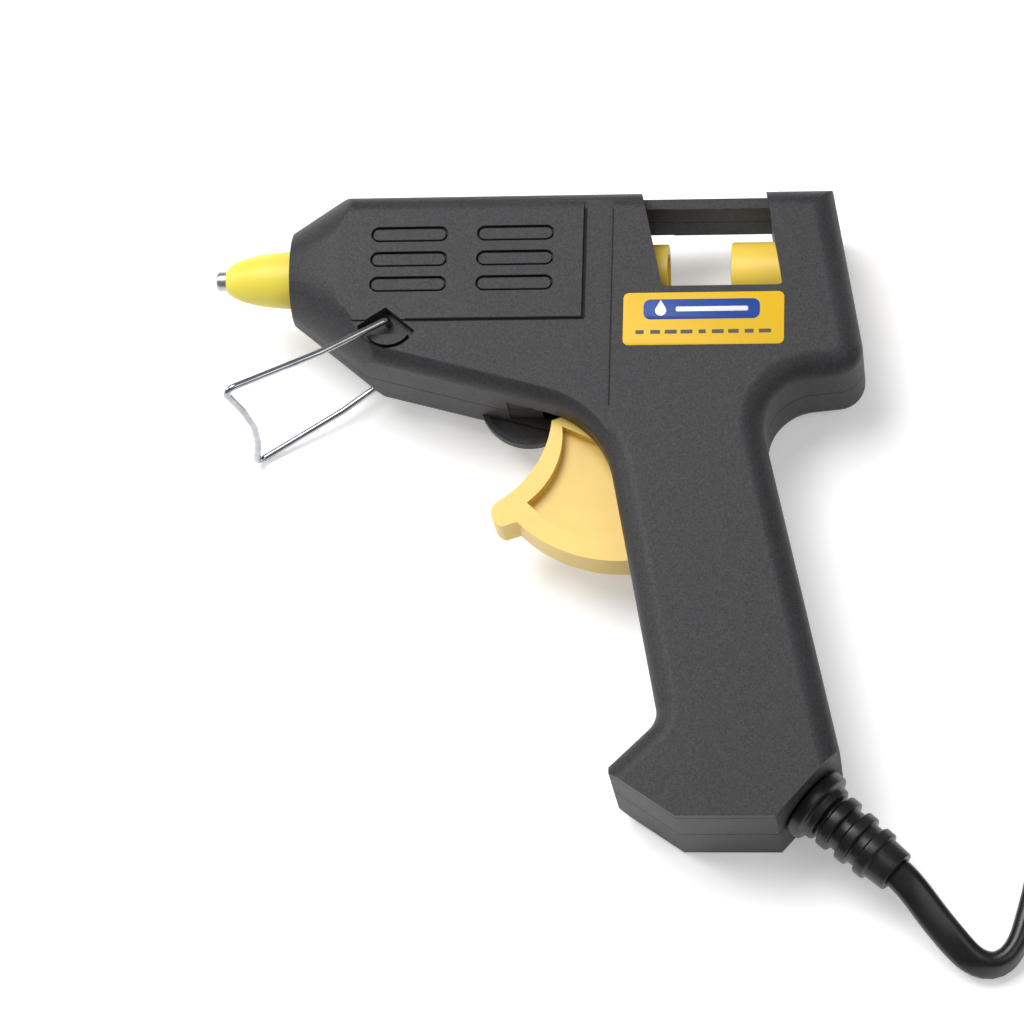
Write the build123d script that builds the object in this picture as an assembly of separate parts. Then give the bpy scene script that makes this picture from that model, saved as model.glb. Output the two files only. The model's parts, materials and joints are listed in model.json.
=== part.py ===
from build123d import *
import math
import os

# Small hot-melt glue gun, lying on its right side with the wire stand folded out.
#
# Every piece is drawn in the gun's own axes, in millimetres: X runs back from the nozzle's
# tip, Y up from the barrel's axis, Z across from the right side face to the left one.
# The stand's feet are wider than the housing, so a gun that lies on its side rests on one
# foot and on the back of the housing. lay_down() turns every piece by that small angle
# and sets the origin under the middle of the gun, on the surface that it lies on.

# ---------------------------------------------------------------- driving dimensions
BODY_WIDTH = 25.0          # across both housing halves
NOSE_X = 15.4              # front rim of the housing, behind the nozzle's tip
TOP_Y = 12.9               # flat top, above the barrel's axis
BACK_TOP_X = 117.9         # back edge of the flat top
BACK_LOBE_X = 124.4        # corner under the stick inlet
BASE_Y = -109.3            # flat end of the grip
WALL = 2.0                 # housing wall
EDGE_ROUND = 4.5           # large rounding along the side faces
STICK_D = 7.2              # glue stick
STICK_PLAY = 0.35          # radial room for the stick in the carriage and guide
CORD_WIDTH = 5.8           # flat two-core mains cord
CORD_THICK = 3.6
FIT = 0.06                 # radial play of a pin that turns
GAP = 0.35                 # room between pieces that move past each other
TRIGGER_SWING = 22.0       # degrees
TRIGGER_WIDTH = 8.0
ARM_LENGTH = 20.0          # trigger pivot to the carriage
PANEL_STEP = 0.5           # depth of the plain band beside the vent panel
VENT_LENGTH = 14.6
VENT_HEIGHT = 3.1
VENT_PITCH = 5.05
VENT_DEPTH = 1.2
WIRE_D = 1.3               # stand wire
STAND_SPLAY = 6.5          # each foot stands out this far beyond its side face
STAND_REACH = 33.4         # pivot to foot
STAND_DROP = 30.0          # degrees below the barrel, folded out
LABEL_LENGTH = 30.0
LABEL_HEIGHT = 10.6
LABEL_THICK = 0.4

COVER_R = 6.2              # nozzle cover where it enters the housing
NOSE_RIM_R = 8.9
PIN_R = 1.5                # trigger pin
SPRING_R = 2.7             # return spring, middle of its wire
JAW_PIN_R = 1.0
JAW_HALF = 1.5
RECESS_R = 5.7             # pocket that the stand's leg turns in
RECESS_FLOOR = 2.7         # below the side face
BOSS_R = 2.9
SCREW_R = 1.1
SCREW_HEAD_R = 2.2
SCREW_HEAD_SINK = 2.6
BOOT_LENGTH = 20.5         # strain relief, outside the housing
BOOT_SINK = 4.0            # and inside it
BOOT_ANGLE = -41.0         # degrees, square to the slanted cord face
NECK_R = 4.6
TAIL = 15.0                # cord inside the grip, from the slanted face
LEAD_R = 0.75
SLOT_HEIGHT = 3.8          # heater pocket
BLOCK_HALF = 5.2

# ---------------------------------------------------------------- derived places
MID = BODY_WIDTH / 2
STAND_SPREAD = BODY_WIDTH + 2 * STAND_SPLAY
BORE_R = STICK_D / 2 + STICK_PLAY
CHAMBER_R = BORE_R + 2.55
FLANGE_R = CHAMBER_R + 0.5               # cover's flange, against the bush
BUSH_R = CHAMBER_R + 1.2
SPIGOT_R = BORE_R + 1.25
SLEEVE_R = BORE_R + 2.05
CARRIAGE_R = BORE_R + 1.85
GUIDE_R = BORE_R + 2.05
SLOT_TOP = -(CHAMBER_R + 0.9)
GRIP_TOP = (75.3, -32.1)                # where underside and grip front would meet
UNDER_FRONT = (NOSE_X, -16.1)
UNDER_SLOPE = (GRIP_TOP[1] - UNDER_FRONT[1]) / (GRIP_TOP[0] - UNDER_FRONT[0])
GRIP_SLOPE = 0.192                      # the grip's front leans back by this much of its height
BASE_X = GRIP_TOP[0] + GRIP_SLOPE * (GRIP_TOP[1] - BASE_Y)
PIVOT = (78.9, -30.8)                   # trigger pin
STAND_PIVOT = (35.0, -13.3)
STOP_CENTRE = (60.4, -22.3)             # half disc that the folded stand meets
RIM_R = 27.7                            # trigger's lower rim about its pin
RIM_THICK = 3.9
CHAMBER_START = NOSE_X + 3.0
CHAMBER_END = 56.0
CARRIAGE_START = 74.0
CARRIAGE_END = 86.7
GUIDE_START = 98.7
GUIDE_END = 119.4
JAW_PIN = (76.6, -(CARRIAGE_R + 3.1))
ARM_LEAN = TRIGGER_SWING / 2
ARM_TIP = (PIVOT[0] + ARM_LENGTH * math.sin(math.radians(ARM_LEAN)),
           PIVOT[1] + ARM_LENGTH * math.cos(math.radians(ARM_LEAN)))
ARM_TIP_R = 2.0
ARM_HALF = TRIGGER_WIDTH / 2 - 1.5
LUG_LOW = -13.2
LUG_HALF = 3.6
CLAMP_AT = 9.5                          # clamp bar, inwards from the slanted face
CLAMP_OFF = CORD_THICK / 2 + 1.1
EXIT_LOW = (BASE_X + 18.3, BASE_Y)      # slanted face that the cord leaves by
EXIT_HIGH = (BASE_X + 29.5, BASE_Y + 12.9)
EXIT_MID = ((EXIT_LOW[0] + EXIT_HIGH[0]) / 2, (EXIT_LOW[1] + EXIT_HIGH[1]) / 2)
SCREWS = [(45.0, -17.6), (115.6, -15.6), (105.5, -74.0), (BASE_X + 6.4, BASE_Y + 7.5)]

# The cord's route on the table, from the strain relief's mouth: X and Y from the mouth,
# Z above the table. The first point lies on the strain relief's axis.
CORD_ROUTE = [(7.6, -9.2, 7.5), (14.0, -15.9, 2.9), (20.2, -14.1, 1.95), (23.6, -2.4, 1.95),
              (25.1, 5.6, 1.95), (29.1, 18.1, 1.95)]
FIRST_RUN = 2.5
COIL_CENTRE = (69.1, 18.1)              # from the mouth
COIL_OUTER = 40.0                       # middle of the outermost turn
COIL_PITCH = 5.9                        # turn to turn, across the cord's width
LAYER_TURNS = 3
LAYER_PITCH = 3.85                      # layer to layer
COIL_INNER = COIL_OUTER - LAYER_TURNS * COIL_PITCH
CORD_LIE = 1.95                         # middle of a cord that lies on the table
LAST_TURN_R = 31.0                      # where the top turn leaves the coil
END_ROUTE = [(0.0, 12.0, 9.5), (0.9, 27.5, 9.3), (1.5, 32.5, 7.2)]   # towards the plug
PLUG_FROM_COIL = 36.5                   # along Y, from the coil's middle to the plug's mouth
PLUG_THICK = 13.6
PLUG_LENGTH = 38.0
PLUG_WIDTH = 27.0
PLUG_PIN_R = 2.0
PLUG_PIN_LENGTH = 19.0
PLUG_PIN_SPACING = 18.6


# ---------------------------------------------------------------- helpers
def outline(corners):
    """A closed face from corners (x, y, radius), each corner rounded to its radius."""
    edges = []
    count = len(corners)
    joints = []
    for i, (x, y, r) in enumerate(corners):
        here = Vector(x, y)
        back = (Vector(*corners[i - 1][:2]) - here).normalized()
        ahead = (Vector(*corners[(i + 1) % count][:2]) - here).normalized()
        if r == 0:
            joints.append((here, None, here))
            continue
        half = math.radians(back.get_angle(ahead)) / 2
        reach = r / math.tan(half)
        middle = here + (back + ahead).normalized() * (r / math.sin(half) - r)
        joints.append((here + back * reach, middle, here + ahead * reach))
    for i, (start, middle, end) in enumerate(joints):
        if middle is not None:
            edges.append(ThreePointArc(start, middle, end))
        edges.append(Line(end, joints[(i + 1) % count][0]))
    return make_face(edges)


def slab(face, low, high):
    """A flat face of the gun's side view, made solid from Z low to Z high."""
    return extrude(Pos(0, 0, low) * face, high - low)


def disc(x, y, r, low, high):
    """A cylinder across the gun."""
    return Pos(x, y, (low + high) / 2) * Cylinder(r, high - low)


def block(x0, x1, y0, y1, z0, z1):
    """A box between two corners."""
    return Pos((x0 + x1) / 2, (y0 + y1) / 2, (z0 + z1) / 2) * Box(x1 - x0, y1 - y0, z1 - z0)


def turned(profile):
    """A turned piece on the barrel's axis, from (x, radius) corners."""
    flat = make_face(Polyline(*[(x, r) for x, r in profile], close=True))
    return Pos(0, 0, MID) * revolve(flat, Axis.X)


def tube(x0, x1, outer, inner):
    """A plain tube on the barrel's axis."""
    return turned([(x0, inner), (x1, inner), (x1, outer), (x0, outer)])


def mirrored(piece):
    """The same piece on the other side of the parting plane."""
    return mirror(piece, Plane.XY.offset(MID))


def round_section(plane, width, height, corner):
    """A rounded rectangle across the barrel, for lofts."""
    return plane * RectangleRounded(width, height, corner)


def across(x, y):
    """A plane square to the barrel at x, its own X along Z of the gun and Y along Y."""
    return Plane(origin=(x, y, MID), x_dir=(0, 0, 1), z_dir=(-1, 0, 0))


# ---------------------------------------------------------------- housing
def side_outline():
    """The gun's side view without its nose taper."""
    return outline([
        (NOSE_X, TOP_Y, 0),
        (BACK_TOP_X, TOP_Y, 0),
        (BACK_LOBE_X, -23.6, 5.2),
        (103.2, -25.8, 9.5),
        (*EXIT_HIGH, 0),
        (*EXIT_LOW, 0),
        (BASE_X + 0.4, BASE_Y, 0),
        (BASE_X - 11.7, BASE_Y + 8.1, 0),
        (BASE_X - 11.9, BASE_Y + 10.1, 0),
        (BASE_X - 3.2, BASE_Y + 18.7, 4.5),
        (*GRIP_TOP, 18.0),
        (*UNDER_FRONT, 0),
    ])


def nose_cut(start, rim_r, inset):
    """What the tapered nose leaves out of a block in front of the barrel."""
    end = 35.0
    top, bottom = TOP_Y + 7.5, -24.0
    taper = loft([
        round_section(across(start, 0), 2 * rim_r, 2 * rim_r, rim_r - 0.3),
        round_section(across(end, (top + bottom) / 2), BODY_WIDTH + 7.2 - 2 * inset,
                      top - bottom - 2 * inset, 12.0 - inset),
    ])
    around = block(start - 12, end, -40, 30, -10, BODY_WIDTH + 10)
    return around - taper


def window_corners():
    """The stick window: its front and back edges lean with the back of the gun."""
    return [(81.7, TOP_Y + 1.5, 0), (86.4, -7.4, 0.8), (108.9, -7.4, 0.8), (105.1, TOP_Y + 1.5, 0)]


def outer_body():
    """The whole housing as one solid block, both halves."""
    body = slab(side_outline(), 0, BODY_WIDTH)
    soft = []
    for edge in body.edges():
        place = edge.center()
        on_side = min(abs(place.Z), abs(place.Z - BODY_WIDTH)) < 1e-3
        if on_side and place.X > NOSE_X + 1 and place.Y > BASE_Y + 11.0:
            soft.append(edge)
    body = fillet(soft, EDGE_ROUND)
    return body - nose_cut(NOSE_X, NOSE_RIM_R, 0)


def cavity():
    """The hollow between the two halves."""
    inner = offset(side_outline(), -WALL, kind=Kind.INTERSECTION)
    hollow = slab(inner, WALL, BODY_WIDTH - WALL)
    front = NOSE_X + WALL
    return hollow - nose_cut(front, NOSE_RIM_R - 1.0, WALL)


def rib(x, thick, low, hole_r):
    """A cross wall in the barrel that carries a round piece on the barrel's axis."""
    wall = block(x, x + thick, low, TOP_Y, 1.0, BODY_WIDTH - 1.0)
    return wall - turned([(x - 1, 0), (x + thick + 1, 0), (x + thick + 1, hole_r), (x - 1, hole_r)])


def vent_slots():
    """Six blind slots in two columns, cut into the left side face."""
    slots = Part()
    for x in (38.7, 58.7):
        for row in range(3):
            y = 3.8 - row * VENT_PITCH
            groove = SlotOverall(VENT_LENGTH, VENT_HEIGHT)
            slots += Pos(x, y, BODY_WIDTH - VENT_DEPTH) * extrude(groove, VENT_DEPTH + 1)
    return slots


def plain_band():
    """The lower band in front of and below the raised vent panel."""
    face = make_face(Polyline(
        (71.5, TOP_Y + 1), (76.9, TOP_Y + 1), (76.9, -38), (20, -38), (20, -13.4), (71.5, -13.4),
        close=True))
    return slab(face, BODY_WIDTH - PANEL_STEP, BODY_WIDTH + 1)


def stand_recess():
    """The pocket that the stand's leg turns in: a disc under two slanted walls."""
    x, y = STAND_PIVOT
    apex = (x - 0.3, y + 2.3)
    wedge = make_face(Polyline(
        apex, (x - 12, y + 2.3 - 11.7 * math.tan(math.radians(33))), (x - 12, y - 12),
        (x + 12, y - 12), (x + 12, y + 2.3 - 12.3 * math.tan(math.radians(39))), close=True))
    ring = slab(wedge, BODY_WIDTH - RECESS_FLOOR, BODY_WIDTH + 3)
    ring = ring & disc(x, y, RECESS_R, 0, BODY_WIDTH + 4)
    island = disc(x, y, RECESS_R - 1.0, BODY_WIDTH - RECESS_FLOOR, BODY_WIDTH - 1.3)
    island = island & block(x - 9, x + 9, y - 9, y - 2.6, 0, BODY_WIDTH)
    return ring - island


def trigger_gap():
    """The room that the trigger sweeps through in the underside and grip."""
    x, y = PIVOT
    half = TRIGGER_WIDTH / 2 + 0.5
    sweep = disc(x, y, RIM_R + 0.7, MID - half, MID + half)
    keep = make_face(Polyline((57.0, y + 4), (57.0, y - 32), (88.0, y - 32), (88.0, y - 6),
                              (x + 2, y + 4), close=True))
    return sweep & slab(keep, 0, BODY_WIDTH)


def half_shell():
    """What both halves share, drawn as the left half."""
    solid = outer_body()
    shell = solid - cavity()
    shell += solid & (rib(23.5, 1.6, -15.0, CHAMBER_R) + rib(48.5, 1.4, -7.0, CHAMBER_R))
    frame = offset(outline(window_corners()), 1.6, kind=Kind.INTERSECTION)
    frame = slab(frame, 0, BODY_WIDTH) & block(87.0, 130, -20, 30, 0, BODY_WIDTH)
    shell += solid & frame
    x, y = STAND_PIVOT
    shell += solid & disc(x, y, RECESS_R + 1.6, BODY_WIDTH - 5.0, BODY_WIDTH)
    half = shell & block(0, 140, -130, 30, MID, BODY_WIDTH + 1)
    opening = slab(outline(window_corners()), -1, BODY_WIDTH + 1)
    bar = block(80, 107, TOP_Y - 2.1, TOP_Y, MID - 6.15, MID + 6.15)
    half -= opening - bar
    half -= turned([(NOSE_X - 1, 0), (NOSE_X + WALL + 1, 0),
                    (NOSE_X + WALL + 1, COVER_R + 0.1), (NOSE_X - 1, COVER_R + 0.1)])
    half -= turned([(100, 0), (135, 0), (135, GUIDE_R), (100, GUIDE_R)])
    half -= plain_band() + vent_slots() + stand_recess() + trigger_gap()
    half -= disc(x, y, WIRE_D / 2 + FIT, MID + 2, BODY_WIDTH)
    half -= boot_seat()
    half += trigger_pin_boss()
    half += carriage_rails()
    return half


def carriage_rails():
    """Two rails on the side wall that the carriage's side tab slides between."""
    rails = Part()
    for side in (-1, 1):
        low, high = sorted((side * (1.5 + GAP), side * (3.1 + GAP)))
        rails += block(64.5, 81.0, low, high, MID + CARRIAGE_R + 1.0, BODY_WIDTH - WALL)
    return rails


def trigger_pin_boss():
    """A boss on the side wall that holds one end of the trigger's pin."""
    x, y = PIVOT
    boss = disc(x, y, 3.6, MID + TRIGGER_WIDTH / 2 + 0.5, BODY_WIDTH - WALL)
    return boss - disc(x, y, PIN_R, MID, BODY_WIDTH - WALL - 1.0)


def boot_frame():
    """A plane at the cord face: its Z runs out along the strain relief."""
    direction = Vector(math.cos(math.radians(BOOT_ANGLE)), math.sin(math.radians(BOOT_ANGLE)))
    return Plane(origin=(EXIT_MID[0], EXIT_MID[1], MID), x_dir=(0, 0, 1),
                 z_dir=(direction.X, direction.Y, 0))


def boot_seat():
    """The hole that the strain relief's neck sits in."""
    return boot_frame() * Pos(0, 0, -BOOT_SINK / 2 + 1.5) * Cylinder(NECK_R, BOOT_SINK + 3)


def housing_left():
    """The half with the label recess and blind screw posts."""
    half = half_shell()
    for x, y in SCREWS:
        half += outer_body() & disc(x, y, BOSS_R, MID, BODY_WIDTH - WALL)
        half -= disc(x, y, SCREW_R, MID, BODY_WIDTH - WALL - 1.0)
    half -= label_blank(0.0)
    return half


def housing_right():
    """The half with countersunk screw holes and the stop that the folded stand rests on."""
    half = mirrored(half_shell())
    for x, y in SCREWS:
        half += outer_body() & disc(x, y, BOSS_R, WALL, MID)
        half -= disc(x, y, SCREW_R, SCREW_HEAD_SINK - 0.1, MID)
        half -= disc(x, y, SCREW_HEAD_R, -1, SCREW_HEAD_SINK)
    return half + stand_stop()


def stand_stop():
    """A dished half disc under the barrel."""
    (x, y), r = STOP_CENTRE, 9.7
    plate = disc(x, y, r, 4.9, 7.1) - disc(x, y, r - 1.1, 6.2, 8.0)
    front = UNDER_FRONT[1] + UNDER_SLOPE * (x - 20 - UNDER_FRONT[0]) + 0.8
    back = front + UNDER_SLOPE * 40
    below = make_face(Polyline((x - 20, front), (x + 20, back), (x + 20, -50), (x - 20, -50),
                               close=True))
    return plate & slab(below, 0, MID)


def housing_screws():
    """Four screws, driven from the right side."""
    screws = Part()
    for x, y in SCREWS:
        head = disc(x, y, SCREW_HEAD_R - 0.1, 1.0, SCREW_HEAD_SINK)
        head -= block(x - 1.5, x + 1.5, y - 0.25, y + 0.25, 0, 1.6)
        head -= block(x - 0.25, x + 0.25, y - 1.5, y + 1.5, 0, 1.6)
        screws += head + disc(x, y, SCREW_R, SCREW_HEAD_SINK, BODY_WIDTH - WALL - 1.6)
    return screws


def label_blank(inset):
    """The rounded label plate, or with inset 0 the pocket for it."""
    plate = RectangleRounded(LABEL_LENGTH - 2 * inset, LABEL_HEIGHT - 2 * inset, 1.6 - inset)
    return Pos(94.2, -14.0, BODY_WIDTH - LABEL_THICK) * extrude(plate, LABEL_THICK)


# ---------------------------------------------------------------- nozzle and heater
def nozzle_tip():
    """A turned brass nozzle with a fine outlet."""
    return turned([(0, 0.6), (0, 1.15), (0.4, 1.45), (1.4, 1.5), (13.0, 3.9), (13.0, 5.0),
                   (16.0, 5.0), (16.0, 3.0), (23.0, 3.0), (23.0, 2.2), (7.0, 1.2), (5.0, 0.6)])


def nozzle_cover():
    """The heat-proof sleeve over the nozzle."""
    profile = [(1.4, 1.5), (1.4, 1.95), (3.1, 3.7), (5.2, 4.9), (7.4, 5.6), (11.4, 6.05),
               (NOSE_X, COVER_R), (NOSE_X + WALL, COVER_R), (NOSE_X + WALL, FLANGE_R),
               (CHAMBER_START, FLANGE_R), (CHAMBER_START, 5.0), (13.0, 5.0), (13.0, 3.9)]
    return turned(profile)


def front_bush():
    """A heat-proof ring that centres the chamber in the nose."""
    return tube(CHAMBER_START, CHAMBER_START + 3.0, BUSH_R, CHAMBER_R)


def heating_chamber():
    """The cast melt chamber with the heater's pocket under it."""
    body = turned([(CHAMBER_START, 3.0), (CHAMBER_START, CHAMBER_R), (50.0, CHAMBER_R),
                   (50.0, SPIGOT_R), (CHAMBER_END, SPIGOT_R), (CHAMBER_END, BORE_R), (26.0, BORE_R),
                   (23.0, 3.0)])
    pad = block(28, 46, -13.0, -4.0, MID - BLOCK_HALF, MID + BLOCK_HALF)
    pad -= turned([(20, 0), (50, 0), (50, CHAMBER_R - 1), (20, CHAMBER_R - 1)])
    pocket = block(27, 47, SLOT_TOP - SLOT_HEIGHT, SLOT_TOP, MID - 4.6, MID + 4.6)
    return body + (pad - pocket)


def heater_stack():
    """Insulation, electrodes and the heating element, stacked in the pocket."""
    foil, plate = 0.3, 0.4
    core = SLOT_HEIGHT - 2 * foil - 2 * plate
    low, half = SLOT_TOP - SLOT_HEIGHT, 4.4
    levels = [low, low + foil, low + foil + plate, low + foil + plate + core,
              low + foil + 2 * plate + core, SLOT_TOP]
    foils, plates, element = Part(), Part(), Part()
    for bottom in (levels[0], levels[4]):
        foils += block(28, 46.5, bottom, bottom + foil, MID - half, MID + half)
    for bottom, side in ((levels[1], -1), (levels[3], 1)):
        z0, z1 = sorted((MID + side * 1.4, MID + side * 3.6))
        plates += (block(28.5, 47.2, bottom, bottom + plate, MID - 4.0, MID + 4.0)
                   + block(47.2, 54.0, bottom, bottom + plate, z0, z1))
    for x in (29.0, 37.8):
        element += block(x, x + 8.2, levels[2], levels[3], MID - 3.8, MID + 3.8)
    return foils, plates, element


def heater_clip():
    """A sprung steel channel that squeezes the pocket."""
    low = -13.0
    outer = block(33, 43, low - 0.8, -8.0, MID - BLOCK_HALF - 0.8, MID + BLOCK_HALF + 0.8)
    return outer - block(32, 44, low, 0, MID - BLOCK_HALF, MID + BLOCK_HALF)


def inlet_sleeve():
    """The soft sleeve that leads the stick into the chamber."""
    return turned([(50.2, SPIGOT_R), (CHAMBER_END, SPIGOT_R), (CHAMBER_END, BORE_R),
                   (62.0, BORE_R), (64.0, BORE_R + 0.6), (64.0, SLEEVE_R), (50.2, SLEEVE_R)])


def sleeve_clamp():
    """A wire clamp round the sleeve."""
    return tube(52.0, 54.0, SLEEVE_R + 0.7, SLEEVE_R)


# ---------------------------------------------------------------- feed
def stick_carriage():
    """The sliding carriage that pushes the stick forward."""
    body = tube(CARRIAGE_START, CARRIAGE_END, CARRIAGE_R, BORE_R)
    lug = block(CARRIAGE_START, 86.0, LUG_LOW, -5.0, MID - LUG_HALF, MID + LUG_HALF)
    tab = block(CARRIAGE_START, 80.0, -1.5, 1.5, MID - 8.2, MID + 8.2)
    inside = CARRIAGE_R - 0.4
    body += (lug + tab) - turned([(70, 0), (90, 0), (90, inside), (70, inside)])
    slot = ARM_TIP_R + 0.3
    body -= block(ARM_TIP[0] - slot, ARM_TIP[0] + slot, -16, ARM_TIP[1] + 2.8, 0, BODY_WIDTH)
    body -= block(CARRIAGE_START - 1, 79.0, -16, 0, MID - JAW_HALF - 0.2, MID + JAW_HALF + 0.2)
    return body - disc(*JAW_PIN, JAW_PIN_R, 0, BODY_WIDTH)


def bite_jaw():
    """The toothed lever that grips the stick."""
    x, y = JAW_PIN
    blade = make_face(Polyline(
        (x - 2.6, y - 0.6), (x - 2.3, y + 4.2), (x - 1.5, y + 3.8), (x - 0.9, y + 4.3),
        (x - 0.2, y + 3.8), (x + 1.9, y + 0.5), (x + 1.3, y - 1.8), (x - 0.8, y - 4.4),
        (x - 2.2, y - 3.8), close=True))
    jaw = slab(blade, MID - JAW_HALF, MID + JAW_HALF)
    return jaw - disc(x, y, JAW_PIN_R + FIT, 0, BODY_WIDTH)


def jaw_pin():
    """The jaw's pin, pressed into the carriage."""
    return disc(*JAW_PIN, JAW_PIN_R, MID - LUG_HALF, MID + LUG_HALF)


def rear_guide():
    """The stick's entry tube, held in the back wall."""
    end = GUIDE_END
    body = tube(GUIDE_START, end, GUIDE_R, BORE_R)
    lead_in = turned([(end - 1.2, 0), (end + 1, 0), (end + 1, BORE_R + 1.6), (end, BORE_R + 0.9),
                      (end - 1.2, BORE_R)])
    collar = tube(111.8, 113.3, GUIDE_R + 1.4, GUIDE_R)
    return body - lead_in + collar


# ---------------------------------------------------------------- trigger
def polar(angle, radius):
    """A point about the trigger's pin."""
    a = math.radians(angle)
    return (PIVOT[0] + radius * math.cos(a), PIVOT[1] + radius * math.sin(a))


def trigger():
    """The trigger: finger pad, web, rim, hub and the arm that drives the carriage."""
    x, y = PIVOT
    pad_top, pad_mid, pad_low = (65.6, -30.7), (62.4, -40.3), (56.0, -46.6)
    toe_out, toe_low = (54.8, -49.4), (57.0, -51.6)
    start, end = 226.0, 284.0
    rim = ThreePointArc(polar(start, RIM_R), polar((start + end) / 2, RIM_R), polar(end, RIM_R))
    edges = [
        ThreePointArc(pad_top, pad_mid, pad_low),
        ThreePointArc(pad_low, toe_out, toe_low),
        Line(toe_low, polar(start, RIM_R)),
        rim,
        Line(polar(end, RIM_R), (x + 4.2, y - 4.0)),
        Line((x + 4.2, y - 4.0), (x + 4.2, y + 3.0)),
        Line((x + 4.2, y + 3.0), (x - 4.0, y + 3.5)),
        Line((x - 4.0, y + 3.5), pad_top),
    ]
    half = TRIGGER_WIDTH / 2
    body = slab(make_face(edges), MID - half, MID + half)
    inner_r = RIM_R - RIM_THICK
    web_edges = [
        ThreePointArc((67.6, -31.9), (66.9, -39.0), (61.4, -46.9)),
        Line((61.4, -46.9), polar(start + 6, inner_r)),
        ThreePointArc(polar(start + 6, inner_r), polar(257, inner_r), polar(end - 3, inner_r)),
        Line(polar(end - 3, inner_r), (x + 1.5, y - 6.0)),
        Line((x + 1.5, y - 6.0), (x - 5.0, y - 4.0)),
        Line((x - 5.0, y - 4.0), (67.6, -31.9)),
    ]
    web = make_face(web_edges)
    for low, high in ((MID + 1.5, MID + half + 1), (MID - half - 1, MID - 1.5)):
        body -= slab(web, low, high)
    lean = math.radians(ARM_LEAN)
    along, side = Vector(math.sin(lean), math.cos(lean)), Vector(math.cos(lean), -math.sin(lean))
    foot, tip = Vector(x, y), Vector(*ARM_TIP)
    neck = 1.2
    arm = make_face(Polyline(foot - side * 2.6, tip - side * neck - along * 3.5,
                             tip - side * neck, tip + side * neck,
                             tip + side * neck - along * 3.5, foot + side * 2.6, close=True))
    body += (slab(arm, MID - ARM_HALF, MID + ARM_HALF)
             + disc(*ARM_TIP, ARM_TIP_R, MID - ARM_HALF, MID + ARM_HALF))
    body += disc(x, y, 4.6, MID - half, MID + half)
    body -= disc(x, y, SPRING_R + 1.1, MID + 1.5, MID + half + 1)
    body -= block(x + SPRING_R - 0.6, x + SPRING_R + 0.6, y, y + 6, MID + half - 0.8, MID + half + 1)
    return body - disc(x, y, PIN_R + FIT, 0, BODY_WIDTH)


def trigger_pin():
    """A steel pin between the housing halves."""
    return disc(*PIVOT, PIN_R, WALL + 1.0, BODY_WIDTH - WALL - 1.0)


def return_spring():
    """A torsion spring about the trigger's pin, its tail against the housing."""
    x, y = PIVOT
    coil = disc(x, y, SPRING_R + 0.45, MID + 1.8, MID + 3.9) - disc(x, y, SPRING_R - 0.45, 0, 30)
    for level in (2.45, 3.15):
        coil -= (disc(x, y, SPRING_R + 1, MID + level, MID + level + 0.12)
                 - disc(x, y, SPRING_R, 0, 30))
    tail = Pos(x + SPRING_R, y + 4.6, MID + 3.8) * Rot(90, 0, 0) * Cylinder(0.35, 9.0)
    return coil + tail


# ---------------------------------------------------------------- stand
def stand_wire():
    """One bent wire: two pivot ends, two splayed legs and a bowed foot."""
    x, y = STAND_PIVOT
    drop = math.radians(STAND_DROP)
    along = Vector(-math.cos(drop), -math.sin(drop))
    hip = BODY_WIDTH - 0.35
    foot_z = MID + STAND_SPREAD / 2
    hip_point = Vector(x, y, hip)
    foot = Vector(x, y, 0) + along * STAND_REACH + Vector(0, 0, foot_z)
    knee = hip_point + (foot - hip_point) * 0.42 + Vector(0.35, -0.6, 0)
    bow = [foot + Vector(2.0, 0, -0.27 * STAND_SPREAD), foot + Vector(2.7, 0, -0.5 * STAND_SPREAD)]
    side = [Vector(x, y, BODY_WIDTH - 4.6), hip_point, knee, foot, bow[0]]
    other = [Vector(p.X, p.Y, 2 * MID - p.Z) for p in reversed(side)]
    points = side + [bow[1]] + other
    radii = [1.2, 12.0, 1.6, 8.0]
    path = FilletPolyline(*points, radius=radii + [10.0] + radii[::-1])
    start = Plane(origin=points[0], z_dir=(0, 0, 1))
    return sweep(start * Circle(WIRE_D / 2), path=path)


# ---------------------------------------------------------------- cord entry
def strain_relief():
    """The ribbed rubber boot round the cord, with a collar inside the housing."""
    frame = boot_frame()
    core = CORD_WIDTH / 2 + 1.35
    profile = [(0, -BOOT_SINK), (NECK_R, -BOOT_SINK), (NECK_R, 0.35), (6.95, 0.35), (6.95, 2.6),
               (5.5, 3.2), (5.5, 4.4)]
    ring, pitch, thick = 5.35, 4.2, 2.4
    place = 5.6
    while place + thick < BOOT_LENGTH:
        profile += [(core, place - 0.6), (core, place), (ring, place + 0.15),
                    (ring, place + thick - 0.15), (core, place + thick)]
        place, ring = place + pitch, ring - 0.17
    profile += [(core - 0.2, BOOT_LENGTH), (0, BOOT_LENGTH)]
    flat = make_face(Polyline(*[(r, 0, z) for r, z in profile], close=True))
    boot = frame * revolve(flat, Axis.Z)
    inner = frame * Pos(0, 0, -BOOT_SINK - 3) * cord_core(BOOT_SINK + 3 + BOOT_LENGTH + 1)
    return boot - inner


def cord_core(length):
    """A straight length of the flat cord along Z."""
    flat = Rot(0, 0, 90) * RectangleRounded(CORD_WIDTH, CORD_THICK, CORD_THICK / 2 - 0.02)
    return extrude(flat, length)


def cord_tail():
    """The end of the cord inside the grip, through the boot to its mouth."""
    return boot_frame() * Pos(0, 0, -TAIL) * cord_core(TAIL + BOOT_LENGTH)


def cord_clamp():
    """A bar that holds the cord's end down inside the grip."""
    frame = boot_frame()
    bar = frame * Pos(CLAMP_OFF, 0, -CLAMP_AT) * Box(2.2, 14.0, 4.0)
    for side in (-1, 1):
        bar -= frame * Pos(CLAMP_OFF, side * 5.3, -CLAMP_AT) * Rot(0, 90, 0) * Cylinder(1.0, 6)
    return bar


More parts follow.
